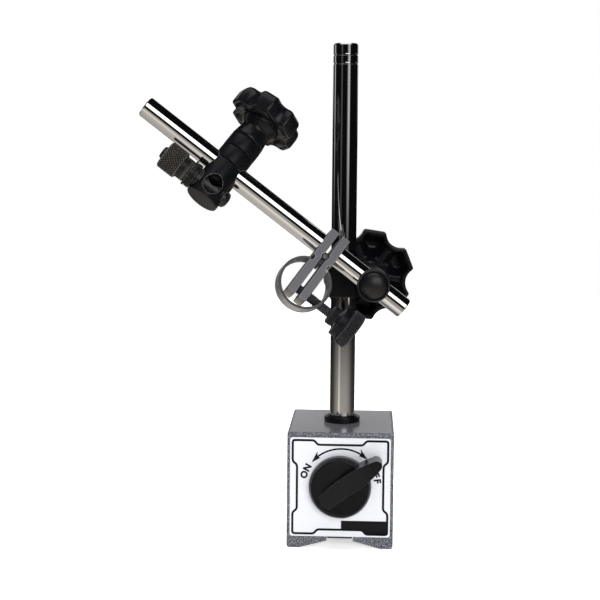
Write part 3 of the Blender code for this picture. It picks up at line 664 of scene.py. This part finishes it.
def dial_letter(mesh, letter, angle):
    """One letter standing on a circle about the dial, its top outwards."""
    curve = bpy.data.curves.new("letter", "FONT")
    curve.body = letter
    curve.size = 0.0043
    curve.align_x = "CENTER"
    curve.align_y = "CENTER"
    curve.offset = 0.00022
    curve.extrude = (PRINT_HIGH - PRINT_LOW) / 2
    curve.resolution_u = 5
    obj = bpy.data.objects.new("letter", curve)
    bpy.context.scene.collection.objects.link(obj)
    bpy.context.view_layer.update()
    shape = bpy.data.meshes.new_from_object(obj.evaluated_get(bpy.context.evaluated_depsgraph_get()))
    x, y = dial_point(0.0175, angle)
    place = Matrix.Translation((x, LABEL_MIDDLE + y, (PRINT_HIGH + PRINT_LOW) / 2))
    shape.transform(place @ Matrix.Rotation(angle - math.pi / 2, 4, "Z"))
    mesh.from_mesh(shape)
    bpy.data.objects.remove(obj, do_unlink=True)
    bpy.data.curves.remove(curve)
    bpy.data.meshes.remove(shape)


def rear_screws(mats):
    """Cross-recessed screws in the rear cover."""
    long, thin = 0.0014, 0.00025
    for i, (sx, sy) in enumerate(CORNERS):
        place = (sx * COVER_SCREW_SPREAD, BASE_DEPTH / 2, LABEL_MIDDLE + sy * COVER_SCREW_SPREAD)
        frame = along(BASE, BACKWARDS, place)
        outline = [(0.0, -0.004), (0.0011, -0.004), (0.0011, 0.0016), (0.0023, 0.0016), (0.0023, 0.0021),
                   (0.0017, 0.0028), (0.0009, 0.0030), (0.0, 0.0030)]
        screw = turned("cover_screw_detail_%d" % (i + 1), outline, frame, mats["oxide"], "base",
                       "black_steel", 48, 0.0002)
        tools = []
        for turn in (0, 1):
            slot_frame = frame @ Matrix.Rotation(math.radians(20 + 31 * i + 90 * turn), 4, "Z")
            blade = prism_mesh([(-long, -thin), (long, -thin), (long, thin), (-long, thin)], 0.0020, 0.0040)
            tools.append(add_piece("tool", blade, slot_frame))
        cut(screw, *tools)
        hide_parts("cover_screw_%d" % (i + 1))


# ---------------------------------------------------------------- switch
def switch_dial(mats):
    low = DIAL_BACK
    face = DIAL_BACK + DIAL_THICK
    outline = [(0.0, low), (DIAL_RADIUS - 0.0002, low), (DIAL_RADIUS, low + 0.0004),
               (DIAL_RADIUS - 0.0003, face - 0.0024), (DIAL_FACE_RADIUS + 0.0006, face - 0.0003),
               (DIAL_FACE_RADIUS + 0.0001, face), (DIAL_FACE_RADIUS - 0.0004, face),
               (DIAL_FACE_RADIUS - 0.0006, face - 0.0003), (0.0, face - 0.0003)]
    dial = turned("switch_dial", outline, DIAL, mats["knob"], "switch", "black_plastic", 128, 0.0002)
    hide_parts("switch_knob")
    switch_lever(mats, face)


def switch_lever(mats, face):
    """The wedge: low at its tail, standing out past the rim at its rounded tip."""
    tail, tip, tip_radius = -0.0113, 0.0235, 0.0027
    low = DIAL_BACK + 0.0006
    spread = math.radians(72)
    side = [(tail + 0.0010, 0.0036), (tail + 0.0022, 0.0043), (-0.0040, 0.0046), (0.0, 0.0047),
            (0.0045, 0.0048), (0.0090, 0.0048), (0.0114, 0.0046), (0.0120, 0.0045), (tip - 0.0065, 0.0037)]
    outline = [(x, -y) for x, y in side]
    outline += arc((tip - tip_radius, 0.0), tip_radius, -spread, spread, 10)
    outline += list(reversed(side))
    outline += arc((tail + 0.0042, 0.0), 0.0042, math.radians(130), math.radians(230), 8)
    droop, bend_from = 0.0012, 0.0060
    outline = [(x, y - droop * (min(0.0, x - bend_from) / (bend_from - tail)) ** 2) for x, y in outline]
    mesh = bmesh.new()
    bottom, top = [], []
    for x, y in outline:
        past_rim = x > 0.0118
        bottom.append(mesh.verts.new((x, y, low if past_rim else face - 0.0015)))
        share = (x - tail) / (tip - tail)
        rise = 0.0050 * min(1.0, 1.22 * share)
        top.append(mesh.verts.new((x, y * 0.93, face + 0.0004 + rise)))
    for i in range(len(outline)):
        j = (i + 1) % len(outline)
        mesh.faces.new((bottom[i], bottom[j], top[j], top[i]))
    bmesh.ops.contextual_create(mesh, geom=top)
    bmesh.ops.contextual_create(mesh, geom=bottom)
    bmesh.ops.triangulate(mesh, faces=[face for face in mesh.faces if len(face.verts) > 4])
    lever = add_piece("switch_lever", mesh, DIAL @ Matrix.Rotation(LEVER_TURN, 4, "Z"), [mats["knob"]],
                      "switch", "black_plastic")
    soft_edges(lever, 0.0005)


# ---------------------------------------------------------------- post and arm
def post_bar(mats):
    low = BASE_HEIGHT + GAP
    outline = [(0.0, low - 0.006), (POST_RADIUS - 0.002, low - 0.006), (POST_RADIUS - 0.002, low),
               (POST_RADIUS, low)]
    for down in POST_GROOVES:
        middle = POST_TOP - down
        outline += [(POST_RADIUS, middle - 0.00045), (POST_RADIUS - 0.0003, middle - 0.0002),
                    (POST_RADIUS - 0.0003, middle + 0.0002), (POST_RADIUS, middle + 0.00045)]
    outline += [(POST_RADIUS, POST_TOP - 0.0007), (POST_RADIUS - 0.0007, POST_TOP), (0.0, POST_TOP)]
    post = turned("post_bar", outline, BASE, mats["chrome"], "base", "chrome", 160)
    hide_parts("post")
    top = low + COLLAR_HEIGHT
    outline = [(POST_RADIUS + 0.0003, low), (COLLAR_RADIUS, low), (COLLAR_RADIUS, top - 0.0010),
               (COLLAR_RADIUS - 0.0004, top - 0.0006),
               (POST_RADIUS + 0.0015, top - 0.0006), (POST_RADIUS + 0.0011, top), (POST_RADIUS + 0.0003, top)]
    collar = turned("post_collar_ring", outline, BASE, mats["knob"], "base", "black_plastic", 96, 0.00025,
                    loop=True)
    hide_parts("post_collar")


def arm_rods(mats):
    for name, node, body, start, end in (
            ("arm_rod_right", "rod_right", "right_rod", ADJUST_ALONG + SEAT_REACH, ARM_RIGHT),
            ("arm_rod_left", "rod_left", "left_rod", -ARM_LEFT, ADJUST_ALONG - SEAT_REACH)):
        outline = [(0.0, start), (ROD_RADIUS - 0.0005, start), (ROD_RADIUS, start + 0.0005),
                   (ROD_RADIUS, end - 0.0005), (ROD_RADIUS - 0.0005, end), (0.0, end)]
        bar = turned(name, outline, ARM_AXIS, mats["chrome"], body, "chrome", 128)
        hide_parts(node)


# ---------------------------------------------------------------- head of the arm clamp
def arm_head(mats):
    """The domed button in its ring, each with the arm's hole, and the spacer behind them."""
    front = -ARM_FRONT - HEAD_LENGTH
    inner = HEAD_RADIUS - HEAD_WALL
    widest = math.radians(68)
    outline = [(inner * math.sin(widest * i / 12) / math.sin(widest),
                front + 0.0026 * (1 - math.cos(widest * i / 12)) / (1 - math.cos(widest))) for i in range(13)]
    outline += [(inner, SHOULDER), (0.004, SHOULDER), (0.004, 0.0300), (0.0, 0.0305)]
    button = turned("head_button", outline, BOLT_AXIS, mats["gloss"], "head", "black_steel", 96)
    cut(button, rod_tool(ROD_RADIUS + 0.00006, -TOOL_REACH, TOOL_REACH, ARM_AXIS))
    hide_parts("pivot_bolt")
    lip = front + 0.0018
    outline = [(inner + 0.0001, lip + 0.0004), (HEAD_RADIUS - 0.0005, lip), (HEAD_RADIUS, lip + 0.0006),
               (HEAD_RADIUS, SHOULDER), (inner + 0.0001, SHOULDER)]
    sleeve = turned("head_ring", outline, BOLT_AXIS, mats["oxide"], "head", "black_steel", 96, 0.0004,
                    loop=True)
    cut(sleeve, rod_tool(ROD_RADIUS + 0.0002, -TOOL_REACH, TOOL_REACH, ARM_AXIS))
    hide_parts("head_sleeve")
    start, end = SHOULDER + GAP, -BLOCK_HALF_DEPTH + 0.0013
    spacer = turned("spacer_ring", tube(0.0043, HEAD_RADIUS, start, end), BOLT_AXIS, mats["oxide"], "clamp",
                    "black_steel", 96, 0.00035, loop=True)
    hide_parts("front_spacer")


# ---------------------------------------------------------------- star knobs
def star_radii(size, count):
    """The knob's outline radius at even angles: flat lobes, hollow arcs, corners rounded."""
    half_angle = math.pi / LOBES
    flat, valley, half = size["flat"], size["valley"], size["lobe"] / 2
    dot = flat * math.cos(half_angle) + half * math.sin(half_angle)
    far = (flat * flat + half * half - valley * valley) / (2 * (dot - valley))
    bend = far - valley
    radii = []
    for i in range(count):
        angle = 2 * math.pi * i / count - size["turn"]
        off_lobe = (angle + half_angle) % (2 * half_angle) - half_angle
        if abs(math.tan(off_lobe)) * flat <= half:
            radii.append(flat / math.cos(off_lobe))
        else:
            off_valley = half_angle - abs(off_lobe)
            across = far * math.sin(off_valley)
            radii.append(far * math.cos(off_valley) - math.sqrt(bend * bend - across * across))
    reach = int(size["round"] * count / 360)
    weights = [math.exp(-2.0 * (k / max(1, reach)) ** 2) for k in range(-2 * reach, 2 * reach + 1)]
    total = sum(weights)
    return [sum(w * radii[(i + k - 2 * reach) % count] for k, w in enumerate(weights)) / total
            for i in range(count)]


def ease(value):
    value = min(1.0, max(0.0, value))
    return value * value * (3 - 2 * value)


def knob_rings(size, count=288):
    """Rings of points from the hub's end, through the pockets and over the rim, to the top's middle."""
    radii = star_radii(size, count)
    turns = [2 * math.pi * i / count for i in range(count)]
    rim, top, neck, hub = size["rim"], size["top"], size["neck"], size["hub"]
    rings = [ring(size["bore"], z, count) for z in (0.0105, 0.0002)]
    rings += [ring(radius, z, count) for radius, z in
              ((hub - 0.0005, 0.0), (hub - 0.0002, 0.0001), (hub, 0.0005))]
    for k in range(1, 11):
        t = k / 10
        radius = hub + (neck - hub) * t + size["flare"] * ease((t - 0.55) / 0.45)
        rings.append(ring(radius, 0.0005 + (rim - 0.0010) * t, count))
    inner_edge = neck + size["flare"]

    def pocket(t, i):
        """Depth into the knob at share t from hub to wall; ribs stand between the lobes."""
        radius = inner_edge + (radii[i] - size["wall"] - inner_edge) * t
        off_lobe = (turns[i] - size["turn"] + math.pi / LOBES) % (2 * math.pi / LOBES) - math.pi / LOBES
        beside_rib = radius * math.sin(math.pi / LOBES - abs(off_lobe)) - 0.0009
        open_here = ease(beside_rib / 0.0042) * ease(t / 0.45) * ease((1 - t) / 0.30)
        lip = size["lip"] * ease((1 - t) / 0.1) * ease(t / 0.1)
        return radius, rim + 0.0003 + lip + size["deep"] * open_here

    for t in (0.02, 0.05, 0.09, 0.14, 0.20, 0.27, 0.36, 0.46, 0.56, 0.66, 0.75, 0.82, 0.87, 0.91, 0.94,
              0.97, 0.99):
        points = [(*pocket(t, i), a) for i, a in enumerate(turns)]
        rings.append([polar(radius, a, z) for radius, z, a in points])
    wall, edge = size["wall"], size["edge"]
    for inward, z in ((wall, rim + 0.0002), (wall - 0.0003, rim), (0.0006 * edge, rim),
                      (0.0002 * edge, rim + 0.0002 * edge), (0.0, rim + 0.0007 * edge),
                      (0.0, (rim + top) / 2), (0.0, top - 0.0030 * edge),
                      (0.0002 * edge, top - 0.0018 * edge), (0.0007 * edge, top - 0.0009 * edge),
                      (0.0016 * edge, top - 0.0003 * edge), (0.0030 * edge, top - 0.0001)):
        rings.append([polar(radius - inward, a, z) for radius, a in zip(radii, turns)])
    face, reach, dip = top - 0.0001, size["valley"] - 0.0040, 0.0004
    rings += [ring(reach * share, face - (dip if share < 0.61 else 0.0), count)
              for share in (1.0, 0.8, 0.62, 0.6, 0.58, 0.3)]
    rings.append([(0.0, 0.0, face - dip)])
    return rings


def star_knob(name, node, size, frame, body, mats):
    knob = add_piece(name, grid_mesh(knob_rings(size)), frame, [mats["knob"]], body, "black_plastic", 50)
    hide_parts(node)


# ---------------------------------------------------------------- fine adjuster
def retaining_spring(mats):
    """An open ring of flat spring steel, its ends hooked into the plates' notches."""
    rise = SPRING_DOWN - NOTCH_DOWN
    lean = math.atan2(PLATE_FAR, rise)
    start, end = math.pi / 2 + lean, math.pi / 2 - lean + 2 * math.pi
    middle = SPRING_RADIUS - SPRING_THICK / 2
    half_thick, half_wide = SPRING_THICK / 2, SPRING_WIDTH / 2
    section = rounded([(-half_thick, -half_wide), (half_thick, -half_wide), (half_thick, half_wide),
                       (-half_thick, half_wide)], 0.0003, 3, closed=True)
    steps = 110
    rings = []
    for i in range(steps + 1):
        angle = start + (end - start) * i / steps
        rings.append([polar(middle + x, angle, y) for x, y in section])
    mesh = grid_mesh(rings)
    for loop in (mesh.verts[:len(section)], mesh.verts[-len(section):]):
        mesh.faces.new(loop)
    mesh.normal_update()
    # Faces along the ring's axis take the darker copy of the steel: painted shade on the ring's flat sides.
    for face in mesh.faces:
        face.material_index = int(abs(face.normal.z) > 0.7)
    frame = along(ADJUST, FORWARDS, (0.0, 0.0, -SPRING_DOWN))
    spring = add_piece("spring_ring", mesh, frame, [mats["spring"], mats["spring_painted_shade_edge"]], "adjuster",
                       "bright_steel")
    cut(spring, rod_tool(SCREW_RADIUS + 0.0006, 0.006, 0.03, SCREW_AXIS, 48))
    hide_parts("c_spring")


def pivot_pin(mats):
    """The pin's bright end in a dark ring; the dark ring is painted shade standing for the shaded clearance
    round the pin.
    """
    axis = along(ADJUST, FORWARDS, (0.0, 0.0, -PIN_DOWN))
    front = PLATE_DEPTH / 2 + 0.0002
    pin = turned("pin_end", tube(0.0, 0.0013, -PLATE_DEPTH / 2, front), axis, mats["pin"], "adjuster",
                 "bright_steel", 48, 0.0003)
    # A dark ring round the pin's end: painted shade of the clearance between pin and plates.
    outline = tube(0.0014, 0.0018, -PLATE_DEPTH / 2, front - 0.0002)
    turned("pin_painted_shade_ring", outline, axis, mats["block"], "adjuster", "bright_steel", 48, loop=True)
    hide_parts("pivot_pin")


def threaded_rings(radius, depth, start, end, pitch, sides=48, steps=7):
    rings = []
    rows = int((end - start) / pitch * steps)
    for row in range(rows + 1):
        z = start + (end - start) * row / rows
        fade = ease(min(z - start, end - z) / pitch)
        points = []
        for i in range(sides):
            phase = (z / pitch - i / sides) % 1.0
            cut_in = depth * (1 - abs(2 * phase - 1)) * fade + depth * (1 - fade)
            angle = 2 * math.pi * i / sides
            points.append(polar(radius - cut_in, angle, z))
        rings.append(points)
    return [[(0.0, 0.0, start)]] + rings + [[(0.0, 0.0, end)]]


def fine_screw(mats):
    black = ([mats["oxide"]], "fine_screw_body", "black_steel")
    thread = threaded_rings(SCREW_RADIUS, 0.0005, -0.0016, WHEEL_START, 0.0010)
    screw = add_piece("fine_screw_thread", grid_mesh(thread), SCREW_AXIS, *black, 60)
    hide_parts("fine_screw")
    ribs = ribbed_mesh(NUT_RADIUS, SCREW_RADIUS + 0.00006, NUT_START, NUT_END, 24, 0.00025)
    nut = add_piece("lock_nut_ribbed", ribs, SCREW_AXIS, *black)
    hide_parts("lock_nut")
    ribs = ribbed_mesh(WHEEL_RADIUS, 0.0, WHEEL_START, WHEEL_END, 40, 0.0006)
    wheel = add_piece("thumb_wheel_ribbed", ribs, SCREW_AXIS, *black)
    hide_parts("thumb_wheel")
    outline = tube(SCREW_RADIUS + 0.0001, WHEEL_HUB, HUB_FROM, WHEEL_START)
    turned("wheel_hub", outline, SCREW_AXIS, mats["oxide"], "fine_screw_body", "black_steel", 64, 0.0003,
           loop=True)


def ribbed_mesh(radius, bore, start, end, ribs, depth):
    """A short cylinder with straight ribs along it and chamfered ends."""
    steps = 8
    count = ribs * steps
    flank = (0.0, 0.0, 0.15, 0.75, 1.0, 1.0, 0.75, 0.15)

    def ribbed(share, z, inward):
        points = []
        for i in range(count):
            r = radius - inward - depth * share * flank[i % steps]
            angle = 2 * math.pi * i / count
            points.append(polar(r, angle, z))
        return points

    chamfer = 0.0007
    rings = [ring(bore, start, count), ribbed(0.0, start, depth + 0.0008), ribbed(0.0, start, depth + 0.0004),
             ribbed(0.4, start + chamfer * 0.5, depth * 0.5), ribbed(1.0, start + chamfer, 0.0),
             ribbed(1.0, end - chamfer, 0.0), ribbed(0.4, end - chamfer * 0.5, depth * 0.5),
             ribbed(0.0, end, depth + 0.0004), ribbed(0.0, end, depth + 0.0008),
             ring(bore, end, count)]
    return grid_mesh(rings, loop=bool(bore))


# ---------------------------------------------------------------- gauge holder
def gauge_holder(mats):
    wall = 0.0067
    black = (mats["oxide"], "holder", "black_steel", 128, 0.0005)
    outline = [(0.0, HOLDER_END), (HOLDER_RADIUS, HOLDER_END), (HOLDER_RADIUS, HOLDER_SPLIT),
               (wall, HOLDER_SPLIT), (wall, -0.0061), (0.0, -0.0061)]
    head = turned("holder_body", outline, HOLDER, *black)
    mouth = HOLDER_RADIUS + 0.0002
    cut(head, rod_tool(ROD_RADIUS + 0.0001, -TOOL_REACH, TOOL_REACH, HOLDER_ARM),
        rod_tool(GAUGE_RADIUS + 0.00005, -mouth, mouth, STEM_AXIS, 96, (0.0011, 0.0020)),
        rod_tool(0.0041, -0.0062, TOOL_REACH, CROSS_AXIS, 64),
        rod_tool(0.00535, -TOOL_REACH, 0.0060, CROSS_AXIS, 64))
    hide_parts("holder_head")
    bore = 0.0033
    outline = [(wall, HOLDER_SPLIT + GAP), (HOLDER_RADIUS, HOLDER_SPLIT + GAP), (HOLDER_RADIUS, SLEEVE_SPLIT),
               (bore, SLEEVE_SPLIT), (bore, 0.0071), (wall, 0.0071)]
    lower = turned("sleeve_lower_ring", outline, HOLDER, *black, loop=True)
    cut(lower, rod_tool(ROD_RADIUS + 0.0001, -TOOL_REACH, TOOL_REACH, HOLDER_ARM))
    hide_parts("sleeve_lower")
    outline = tube(bore, HOLDER_RADIUS, SLEEVE_SPLIT + GAP, HUB_START)
    upper = turned("sleeve_upper_ring", outline, HOLDER, *black, loop=True)
    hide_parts("sleeve_upper")


def knurled_rings(radius, start, end, turns_round=30, depth=0.0005, count=360, rows=60):
    """A band with crossed helical grooves; the ridges between them are the knurl's diamonds."""
    rings = []
    for row in range(rows + 1):
        z = start + (end - start) * row / rows
        points = []
        for i in range(count):
            angle = 2 * math.pi * i / count
            slant = (z - start) / (2 * math.pi * radius / turns_round) * 0.9
            first = abs(((angle / (2 * math.pi) * turns_round + slant) % 1.0) * 2 - 1)
            second = abs(((angle / (2 * math.pi) * turns_round - slant) % 1.0) * 2 - 1)
            r = radius - depth * (1 - min(first, second) ** 0.8)
            points.append(polar(r, angle, z))
        rings.append(points)
    return rings


def gauge_clamp(mats):
    count = 360
    rings = [ring(r, z, count) for r, z in ((0.00306, -0.0164), (0.00306, -0.0260), (0.0060, -0.0260),
                                            (0.0065, -0.0256))]
    rings += knurled_rings(0.0069, -0.0252, -0.0172)
    rings += [ring(r, z, count) for r, z in ((0.0065, -0.0168), (0.0060, -0.0164), (0.0055, -0.0164),
                                             (0.0055, -0.0160), (0.0055, -0.0127), (0.0052, -0.0124),
                                             (0.00306, -0.0124))]
    nut = add_piece("knurled_grip", grid_mesh(rings, loop=True), CROSS_AXIS, [mats["knurl"]], "gauge_nut",
                    "black_steel", 55)
    nut.visible_glossy = False
    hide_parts("knurled_nut")
    outline = [(0.0, -0.0275), (0.0024, -0.0275), (0.0030, -0.0269), (0.0030, -0.0082), (0.0052, -0.0082),
               (0.0052, 0.0057), (0.0040, 0.0057), (0.0040, 0.0082), (0.0037, 0.0092), (0.0029, 0.0099),
               (0.0016, 0.0103), (0.0, 0.0104)]
    bolt = turned("gauge_eye_bolt", outline, CROSS_AXIS, mats["gloss"], "holder", "black_steel", 96, 0.0002)
    eye_axis = along(HOLDER, (0.0, math.cos(EYE_TURN), math.sin(EYE_TURN)), (0.0, 0.0, -GAUGE_DOWN))
    cut(bolt, rod_tool(GAUGE_RADIUS + 0.00005, -TOOL_REACH, TOOL_REACH, eye_axis))
    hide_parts("gauge_bolt")
    for name, node, radius, start, end in (("jaw_washer_ring", "jaw_washer", 0.0062, -0.0109, -0.0084),
                                           ("thin_washer_ring", "thin_washer", 0.0066, -0.0121, -0.0112)):
        washer = turned(name, tube(0.0033, radius, start, end), CROSS_AXIS, mats["washer"], "holder",
                        "black_steel", 96, 0.00025, loop=True)
        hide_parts(node)


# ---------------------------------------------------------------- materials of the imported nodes
def finish_nodes(frame, mats):
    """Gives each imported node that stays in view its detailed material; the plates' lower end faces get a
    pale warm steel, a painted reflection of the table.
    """
    wanted = {"ground": ["rotor_magnet", "rotor_spindle"], "separator": ["strip_lower"],
              "steel": ["plate_left", "plate_right"], "spring": ["rear_washer"],
              "cover": ["rear_cover"], "brass": ["main_knob_insert", "upper_knob_insert"],
              "oxide": ["hinge_key", "draw_bolt"], "block": ["clamp_block"], "knob": ["post_liner"]}
    for key, names in wanted.items():
        for name in names:
            data = frame["nodes"][name].data
            data.materials.clear()
            data.materials.append(mats[key])
    # The plates' down-facing end faces take the pale warm steel: a painted reflection of the pale table
    # below.
    lower_end = (ADJUST.to_3x3() @ Vector((0.0, 0.0, -1.0))).normalized()
    for name in wanted["steel"]:
        plate = frame["nodes"][name]
        plate.data.materials.append(mats["plate_end_painted_reflection"])
        turn = plate.matrix_world.to_3x3()
        for face in plate.data.polygons:
            if (turn @ face.normal).normalized().dot(lower_end) > 0.9:
                face.material_index = 1


# ---------------------------------------------------------------- studio
def add_area(name, place, target, width, height, power, colour=(1.0, 1.0, 1.0)):
    light = bpy.data.lights.new(name, "AREA")
    light.shape = "RECTANGLE"
    light.size = width
    light.size_y = height
    light.energy = power
    light.color = colour
    obj = bpy.data.objects.new(name, light)
    way = Vector(target) - Vector(place)
    obj.matrix_world = Matrix.Translation(place) @ way.to_track_quat("-Z", "Y").to_matrix().to_4x4()
    obj.visible_glossy = False
    bpy.context.scene.collection.objects.link(obj)


class Room(Tree):
    """What polished surfaces see: soft cards in a dark room, built from the ray's direction."""

    def __init__(self, tree):
        super().__init__(tree)
        self.way = self.add("ShaderNodeTexCoord").outputs["Generated"]

    def math(self, operation, *values):
        """All the values joined by one operation."""
        total = values[0]
        for value in values[1:]:
            total = self.add("ShaderNodeMath", {0: total, 1: value}, operation=operation).outputs["Value"]
        return total

    def part(self, axis):
        """How far the ray's direction runs along an axis."""
        return self.dot(self.way, axis)

    def step(self, value, low, high):
        """0 at low, 1 at high, with soft ends."""
        return self.ramp(value, low, high, interpolation_type="SMOOTHSTEP")

    def card(self, azimuth, elevation, left, right, low, high, strength, soft=(3, 3, 3, 3)):
        """A soft rectangle; its sides are degrees from its middle. Azimuth 0 is the front, 90 the right."""
        turn, lift = math.radians(azimuth), math.radians(elevation)
        ahead = Vector((math.sin(turn) * math.cos(lift), -math.cos(turn) * math.cos(lift), math.sin(lift)))
        side = Vector((math.cos(turn), math.sin(turn), 0.0))
        up = side.cross(ahead) * -1.0
        if up.z < 0:
            up = up * -1.0
        forward = self.math("MAXIMUM", self.part(ahead), 0.001)
        across = self.math("DIVIDE", self.part(side), forward)
        above = self.math("DIVIDE", self.part(up), forward)
        masks = []
        for value, way, edge, blur in zip((across, across, above, above), (1, -1, 1, -1),
                                          (left, right, low, high), soft):
            middle = math.tan(math.radians(edge))
            reach = math.tan(math.radians(blur)) * way
            masks.append(self.step(value, middle - reach, middle + reach))
        return self.math("MULTIPLY", *masks, self.step(self.part(ahead), 0.05, 0.15), strength)

    def table(self):
        """The pale table below the horizon: brightest to the front left and close under the stand."""
        down = self.part((0.0, 0.0, -1.0))
        front = self.step(self.part((0.0, -1.0, 0.0)), -0.3, 1.0)
        back = self.step(self.part((0.0, 1.0, 0.0)), 0.1, 0.6)
        glow = self.math("ADD", self.math("MULTIPLY", front, 0.34), 0.04,
                         self.card(-30, -20, -9, 9, -34, 16, 0.40, (7, 7, 8, 3)),
                         self.math("MULTIPLY", self.step(down, 0.40, 0.85), 0.45),
                         self.math("MULTIPLY", back, self.step(down, 0.30, 0.50), 0.30))
        return self.math("MULTIPLY", self.step(down, 0.095, 0.19), glow)


def room_light(tree):
    """The brightness of the cards and that of the table, as two outputs."""
    room = Room(tree)
    cards = [room.card(22, 21, -21, 20, -9, 17, 2.2, (7, 2, 4, 2)),
             room.card(32, 4, -9, 11, -6, 9, 0.50, (8, 2, 4, 4)),
             room.card(-31, 12, -7, 6, -16, 30, 0.07, (3, 3, 6, 6)),
             room.card(0, 84, -24, 24, -24, 24, 1.1, (6, 6, 6, 6)),
             room.card(180, 12, -40, 40, -9, 8, 0.60, (8, 8, 3, 4)),
             room.card(-108, 22, -7, 7, -22, 22, 0.5, (3, 3, 5, 5))]
    return room.math("ADD", *cards, 0.004), room.table()


def studio():
    """A pale floor under soft lights; mirrors see the room's cards, the camera sees white."""
    middle = (0.0, 0.0, 0.10)
    add_area("softbox_front", (0.33, -1.35, 0.62), middle, 0.62, 0.62, 15.0)
    add_area("softbox_top", (0.0, 0.25, 1.7), middle, 1.6, 1.6, 50.0)
    add_area("softbox_left", (-1.2, -0.45, 0.55), middle, 0.5, 0.9, 3.0, (0.94, 0.97, 1.0))
    world = bpy.data.worlds.new("studio")
    bpy.context.scene.world = world
    world.use_nodes = True
    tree = Tree(world.node_tree)
    seen = tree.nodes["Background"].outputs[0]
    tree.put(tree.nodes["Background"].inputs["Color"], (0.05, 0.05, 0.055))
    cards, table = room_light(world.node_tree)
    glows = [tree.add("ShaderNodeBackground", {"Color": colour, "Strength": strength}).outputs[0]
             for strength, colour in ((cards, (1.0, 0.99, 0.98)), (table, (1.0, 0.93, 0.84)))]
    mirrored = tree.add("ShaderNodeAddShader", {0: glows[0], 1: glows[1]}).outputs[0]
    paper = tree.add("ShaderNodeBackground", {"Color": (1.0, 1.0, 1.0)}).outputs[0]
    ray = tree.add("ShaderNodeLightPath")
    for kind, source in (("Is Glossy Ray", mirrored), ("Is Camera Ray", paper)):
        seen = tree.add("ShaderNodeMixShader", {0: ray.outputs[kind], 1: seen, 2: source}).outputs[0]
    tree.put(tree.nodes["World Output"].inputs["Surface"], seen)
    half = 1.1
    mesh = bmesh.new()
    corners = ((-half, -half), (half, -half), (half, half), (-half, half))
    mesh.faces.new([mesh.verts.new((x, y, 0.0)) for x, y in corners])
    floor = add_piece("floor", mesh, Matrix(), [floor_paper()])
    floor.visible_glossy = False
    bpy.context.scene.view_settings.view_transform = "Standard"


def camera():
    yaw, pitch, roll = 0.0505, 0.1062, 0.0074
    forward = Vector((-math.sin(yaw) * math.cos(pitch), math.cos(yaw) * math.cos(pitch), -math.sin(pitch)))
    level = Vector((math.cos(yaw), math.sin(yaw), 0.0))
    upright = level.cross(forward)
    right = level * math.cos(roll) + upright * math.sin(roll)
    up = upright * math.cos(roll) - level * math.sin(roll)
    place = BASE @ Vector((0.01265, -0.6646, 0.18493))
    data = bpy.data.cameras.new("camera")
    data.sensor_width = 36.0
    data.lens = 82.93
    data.clip_start = 0.01
    obj = bpy.data.objects.new("camera", data)
    turn = Matrix((right, up, -forward)).transposed().to_4x4()
    obj.matrix_world = Matrix.Translation(place) @ turn
    bpy.context.scene.collection.objects.link(obj)
    bpy.context.scene.camera = obj


def main():
    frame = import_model()
    mats = all_materials()
    finish_nodes(frame, mats)
    base_body(mats)
    label(mats)
    rear_screws(mats)
    switch_dial(mats)
    post_bar(mats)
    arm_rods(mats)
    arm_head(mats)
    knob_frame = along(BOLT, BACKWARDS, (0.0, BLOCK_HALF_DEPTH + 0.0013, 0.0))
    star_knob("main_star_knob", "main_knob", MAIN_KNOB, knob_frame, "main_knob_body", mats)
    upper_frame = HOLDER @ Matrix.Translation((0.0, 0.0, HUB_START + GAP))
    star_knob("upper_star_knob", "upper_knob", UPPER_KNOB, upper_frame, "upper_knob_body", mats)
    retaining_spring(mats)
    pivot_pin(mats)
    fine_screw(mats)
    gauge_holder(mats)
    gauge_clamp(mats)
    studio()
    camera()


main()
